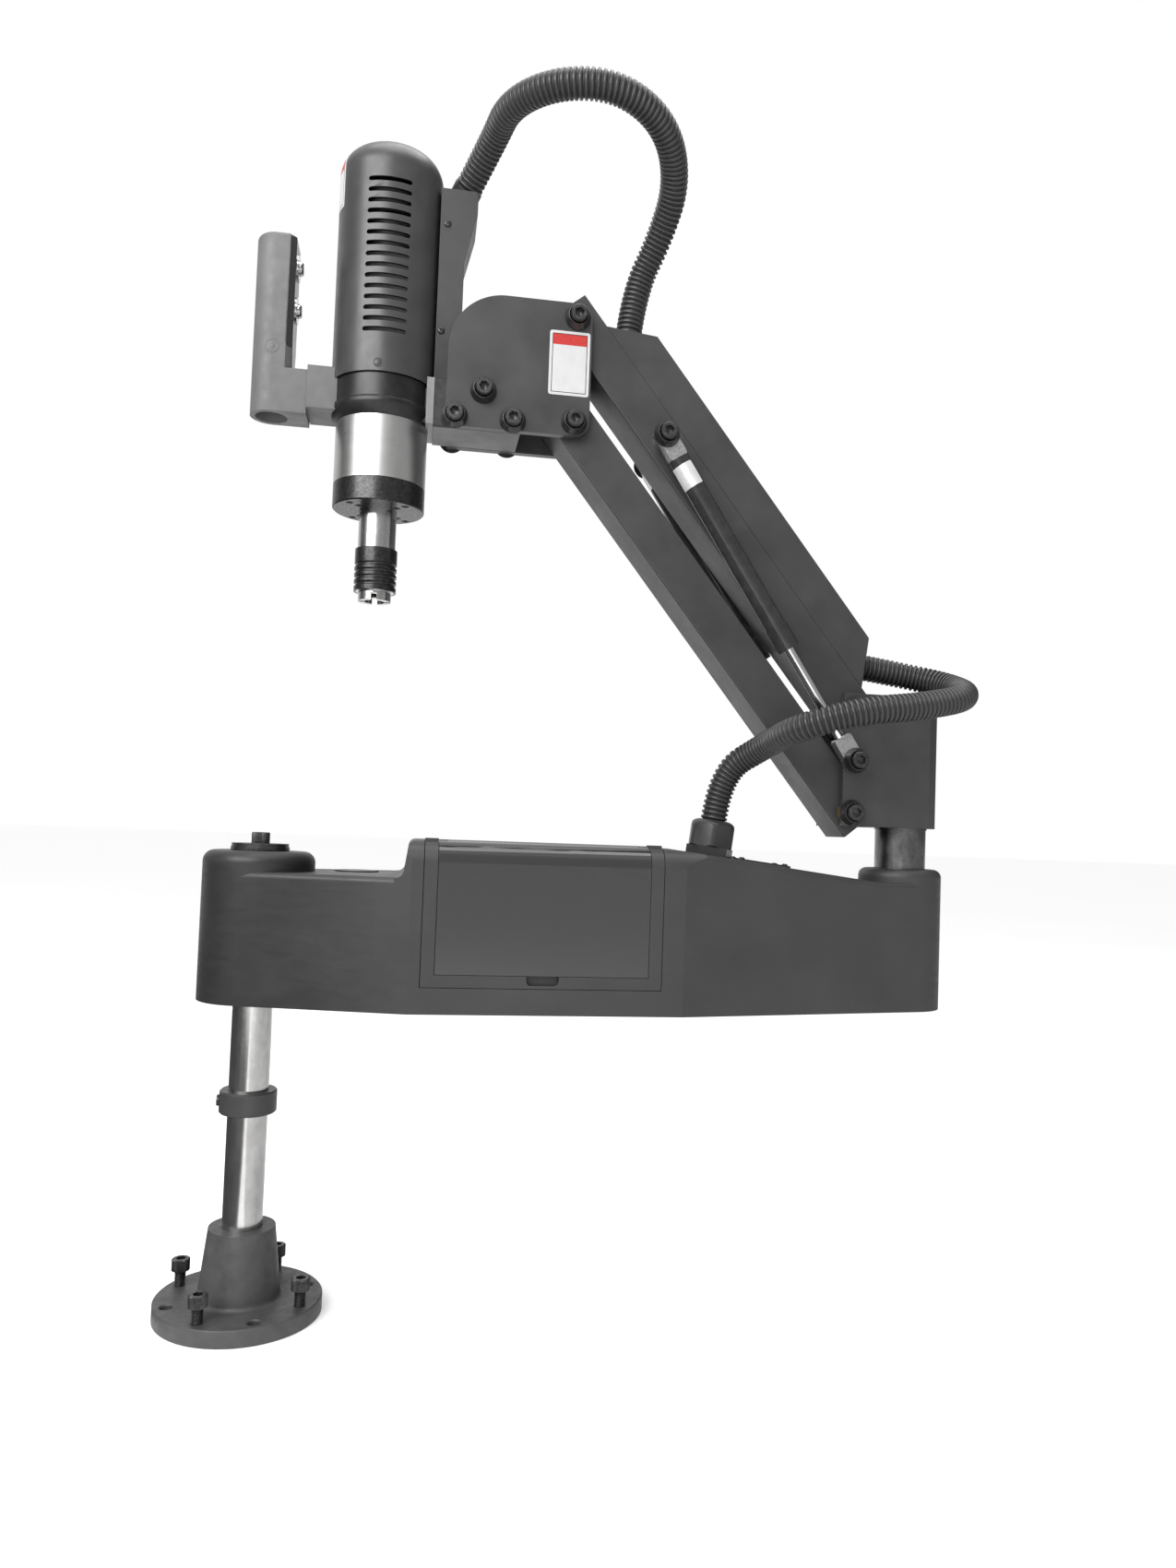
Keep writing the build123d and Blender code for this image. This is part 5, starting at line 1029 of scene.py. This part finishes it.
def black_anodised(name, level=0.055, roughness=0.3, centre=(HEAD_X, 0, 0)):
    """Black anodised aluminium with fine turning rings."""
    alloy = Finish(name, grey(level), roughness, 0.75)
    rings = alloy.cloud((50, 50, 0.3), 2, 0.6, centre)
    alloy.tint(alloy.cloud(12, 3), grey(level * 0.85), grey(level * 1.2))
    alloy.sheen_of(alloy.combine(rings, alloy.cloud(6, 3), "ADD", 0.5),
                   roughness - 0.05, roughness + 0.1, 0.5, 1.0)
    alloy.relief(rings, 0.006, 0.4, 0.35)
    return alloy.material


def gloss_black_tube():
    """The spring cylinders' glossy black paint."""
    return mottled("spring_tube_paint", grey(0.022), 0.16, 0, ((9, 3), grey(0.018), grey(0.028)),
                   ((6, 3), 0.11, 0.24), ((1.6, 2), 0.015, 0.35, 0.3))


def oiled_bronze():
    """Sintered bronze bush."""
    return mottled("oiled_bronze", (0.5, 0.33, 0.14), 0.35, 1.0,
                   ((2.2, 4), (0.4, 0.25, 0.1), (0.58, 0.4, 0.18)), ((1.4, 3), 0.28, 0.45),
                   ((0.5, 2), 0.01, 0.4))


def print_film(name, colour, roughness=0.32):
    """Printed label film."""
    painted_light_and_wear = [value * 0.95 for value in colour]
    fresh = [min(value * 1.03, 0.9) for value in colour]
    return mottled(name, colour, roughness, 0, ((9, 3), painted_light_and_wear, fresh),
                   ((3, 2), roughness - 0.05, roughness + 0.07), ((2.5, 2), 0.006, 0.3))


def foil_film():
    """Brushed silver label foil."""
    lines = (0.3, 2)
    return mottled("silver_foil", grey(0.8), 0.34, 0.55, ((6, 3), grey(0.72), grey(0.86)),
                   (lines, 0.28, 0.42), (lines, 0.003, 0.3))


def glossy_plastic(name, level, roughness=0.16):
    """Shiny moulded plastic with fine dust and a few hairlines."""
    shell = Finish(name, grey(level), roughness)
    dust = shell.cloud(0.9, 3, 0.7)
    shell.tint(dust, grey(level * 0.9), grey(level * 1.3), 0.5, 0.8)
    shell.sheen_of(shell.combine(shell.cloud(8, 3), dust, "ADD", 0.3),
                   roughness - 0.05, roughness + 0.1, 0.4, 0.95)
    shell.relief(shell.cloud((0.5, 0.5, 20), 2), 0.004, 0.3, 0.3)
    return shell.material


finishes = {
    "plate_coat": powder_coat("plate_powder_coat", 0.034, 0.4),
    "arm_coat": powder_coat("arm_powder_coat", 0.032, 0.43),
    "cast_paint": cast_paint(),
    "box": moulded_box_plastic(),
    "case": case_paint(),
    "wire_box": wire_box_paint(),
    "lid": smoky_acrylic(),
    "grip": grip_rubber(),
    "nylon": nylon(),
    "panel": panel_plastic(),
    "hose": hose_nylon(),
    "column": turned_steel("ground_column_steel", 0.58, 0.18, groove=0.2),
    "pillar": turned_steel("ground_pillar_steel", 0.2, 0.28, (PILLAR_X, 0, 0), stain=0.25),
    "spindle": turned_steel("turned_spindle_steel", 0.6, 0.2, (HEAD_X, 0, 0), groove=0.2),
    "reducer": turned_steel("turned_reducer_steel", 0.6, 0.31, (HEAD_X, 0, 0), stain=0.03, groove=0.08),
    "shaft": turned_steel("turned_shaft_steel", 0.58, 0.22, turn=(math.pi / 2, 0, 0)),
    "plate_steel": flat_ground_steel(),
    "zinc": zinc_plate(),
    "chrome": hard_chrome(),
    "bezel": hard_chrome("button_chrome", 0.42),
    "oxide": black_oxide(),
    "ring": black_oxide("blued_ring_steel", 0.05, 0.3),
    "alloy": black_anodised("black_anodised_alloy"),
    "holder": black_anodised("holder_ring_alloy", 0.035, 0.34),
    "spring": gloss_black_tube(),
    "bronze": oiled_bronze(),
    "white_film": print_film("white_label_film", grey(0.5)),
    "red_film": print_film("red_label_film", (0.42, 0.03, 0.025)),
    "line_film": print_film("label_border_ink", grey(0.02)),
    "foil": foil_film(),
    "strip": glossy_plastic("grip_strip_gloss", 0.035, 0.2),
    "glass": glossy_plastic("screen_glass", 0.02, 0.06),
    # near-black nylon as painted shade: the face screws in the end ring's holes and the cap seen through the
    # vents
    "painted_shade_black": nylon("painted_shade_black_nylon", 0.006, 0.6),
    "display": glossy_plastic("unlit_display", 0.008, 0.12),
}
node_finishes = {
    "plate_coat": ["head_plates", "rear_bracket", "height_collar"],
    "arm_coat": ["upper_arm", "lower_arm", "cable_cover", "bottom_cover", "arm_frame"],
    "cast_paint": ["base_flange"],
    "box": ["arm_housing", "lid_frame"],
    "case": ["motor_case"],
    "wire_box": ["wire_box"],
    "lid": ["control_lid"],
    "grip": ["handle_grip", "handle_clamp"],
    "nylon": ["cable_gland", "gland_nut", "deck_plug", "slope_plate", "hose_ferrule"],
    "panel": ["touch_screen", "servo_drive", "servo_motor"],
    "hose": ["upper_hose", "hose_tail", "hose_drop"],
    "column": ["column", "swing_bearings"],
    "pillar": ["pillar", "pillar_washer"],
    "spindle": ["spindle", "chuck_body"],
    "reducer": ["gear_reducer"],
    "shaft": ["rear_pivot_shafts", "front_pivot_shafts", "lid_hinge_pins"],
    "plate_steel": ["mounting_plate"],
    "zinc": ["spring_cylinder_eyes", "spring_rod_eyes", "head_screws"],
    "chrome": ["spring_rods"],
    "bezel": ["button_bezels", "button_forward", "button_reverse"],
    "oxide": ["base_bolts", "column_cap", "collar_screw", "rear_bolts", "cover_screws",
              "spring_arm_bolts", "head_bolts"],
    "ring": ["end_ring", "chuck_sleeve"],
    "alloy": ["head_block"],
    "holder": ["holder_ring"],
    "spring": ["spring_cylinders"],
    "bronze": ["upper_arm_bushes", "lower_arm_bushes"],
}


def wear(piece, *names):
    """Give a piece its finish, or several by slot."""
    piece.data.materials.clear()
    for name in names:
        piece.data.materials.append(finishes[name])


for finish_name, members in node_finishes.items():
    for member in members:
        for material_slot in nodes[member].material_slots:
            material_slot.material = finishes[finish_name]
for hose in hoses:
    wear(hose, "hose")
for screw_set in black_screw_sets + [cover_screws]:
    wear(screw_set, "oxide")
# the face screws near black: painted shade in their holes in the end ring
wear(head_screws[0], "painted_shade_black")
wear(head_screws[1], "oxide")
wear(gland_nut, "nylon")
for label in (plate_label, case_label):
    for layer, film_name in zip(label, ("white_film", "line_film", "red_film")):
        wear(layer, film_name)
for piece, name in ((foil_label, "foil"), (mould_mark, "grip"), (grip_strip, "strip"), (plug, "case"),
                    (glass, "glass"), (display, "display"), (deck_screws, "oxide"), (flange, "holder"),
                    (motor_cap, "painted_shade_black")):
    wear(piece, name)


# ------------------------------------------------------------------ the room
def soft_light(name, place, aim, size, watts):
    """A rectangular soft light that looks at a point."""
    bpy.ops.object.light_add(type="AREA", location=place)
    light = bpy.context.object
    light.name = name
    light.data.shape = "RECTANGLE"
    light.data.size = size[0]
    light.data.size_y = size[1]
    light.data.energy = watts
    light.rotation_euler = (Vector(aim) - Vector(place)).to_track_quat("-Z", "Y").to_euler()
    light.visible_camera = False
    return light


# how pale the room's wall is at each turn in degrees, from behind the machine towards its left
ROOM_WALLS = ((0, 1.0), (22, 0.9), (50, 0.7), (63, 0.45), (70, 0.12), (98, 0.12), (112, 0.55), (140, 0.6),
              (180, 0.5), (212, 0.36), (232, 0.3), (258, 0.42), (274, 0.12), (322, 0.12), (338, 0.7),
              (360, 1.0))


def pale_room():
    """The room as the machine's bright metal mirrors it: pale walls with dark stretches left and
    right, under a pale ceiling. Seen directly, it is all one pale tone."""
    world = bpy.data.worlds.new("pale_room")
    bpy.context.scene.world = world
    world.use_nodes = True
    tree = world.node_tree

    def reckon(operation, *values):
        return shader_node(tree, "Math", dict(enumerate(values)), operation=operation).outputs[0]

    def mix(colour, other, share):
        return shader_node(tree, "Mix", {"A": colour, "B": other, "Factor": share},
                           data_type="RGBA").outputs["Result"]

    generated = shader_node(tree, "TexCoord").outputs["Generated"]
    split = shader_node(tree, "SeparateXYZ", {"Vector": generated}).outputs
    turn = reckon("ARCTAN2", reckon("MULTIPLY", split["X"], -1), split["Y"])
    walls = shader_node(tree, "ValToRGB", {"Fac": reckon("WRAP", reckon("DIVIDE", turn, 2 * math.pi), 1, 0)})
    stops = walls.color_ramp.elements
    stops[0].color = (*grey(ROOM_WALLS[0][1]), 1)
    stops[1].color = (*grey(ROOM_WALLS[-1][1]), 1)
    for degrees, level in ROOM_WALLS[1:-1]:
        stops.new(degrees / 360).color = (*grey(level), 1)
    rise = shader_node(tree, "MapRange", {"From Min": 0.62, "From Max": 0.85, "Value": split["Z"]},
                       interpolation_type="SMOOTHSTEP").outputs["Result"]
    room = mix(walls.outputs["Color"], (1.1, 1.1, 1.1, 1), rise)
    seen = shader_node(tree, "LightPath").outputs["Is Camera Ray"]
    back = tree.nodes["Background"]
    back.inputs["Strength"].default_value = 1.0
    tree.links.new(mix(room, (1, 1, 1, 1), seen), back.inputs["Color"])


def floor_reflection_sheet(name, side, near, far, level):
    """A sheet that widens away from the machine to its left or right, hidden from the camera, from diffuse
    light and from shadow: a painted reflection, seen only in the bright metal.
    """
    bpy.ops.mesh.primitive_plane_add(size=2, location=(0, 0, 0.0008))
    reflection_sheet = bpy.context.object
    reflection_sheet.name = name
    for vertex in reflection_sheet.data.vertices:
        outer = vertex.co.x > 0
        vertex.co.x = side * (20 if outer else 0.08)
        vertex.co.y *= far if outer else near
    reflection_sheet_finish = Finish(name, grey(level), 0.9)
    reflection_sheet_finish.tint(reflection_sheet_finish.cloud(20, 2), grey(level * 0.9), grey(level * 1.1))
    reflection_sheet.data.materials.append(reflection_sheet_finish.material)
    for rays in ("camera", "diffuse", "shadow", "transmission"):
        setattr(reflection_sheet, "visible_" + rays, False)


def studio():
    """A pale seamless floor, a large soft light over the photographer's left shoulder and one overhead."""
    bpy.ops.mesh.primitive_plane_add(size=60, location=(0.3, 8, -0.0005))
    floor = bpy.context.object
    floor.name = "floor"
    paint = Finish("pale_floor", grey(0.88), 0.8)
    paint.tint(paint.cloud(900, 2), grey(0.87), grey(0.89))
    paint.set("Specular IOR Level", 0.1)
    paint.set("Emission Color", (1, 1, 1, 1))
    paint.set("Emission Strength", 0.3)
    floor.data.materials.append(paint.material)
    # painted reflections: a dark sheet to the left and a grey one to the right, seen only in the bright metal
    floor_reflection_sheet("dark_reflection_sheet", -1, 1.4, 8.0, 0.03)
    floor_reflection_sheet("grey_reflection_sheet", 1, 1.2, 7.0, 0.62)
    pale_room()
    soft_light("key_light", (-1.15, -1.8, 1.8), (0.2, 0, 0.62), (2.1, 1.3), 70)
    soft_light("top_light", (0.35, -0.1, 2.6), (0.3, 0, 0.4), (1.8, 1.4), 26)
    bpy.context.scene.view_settings.view_transform = "Standard"


studio()
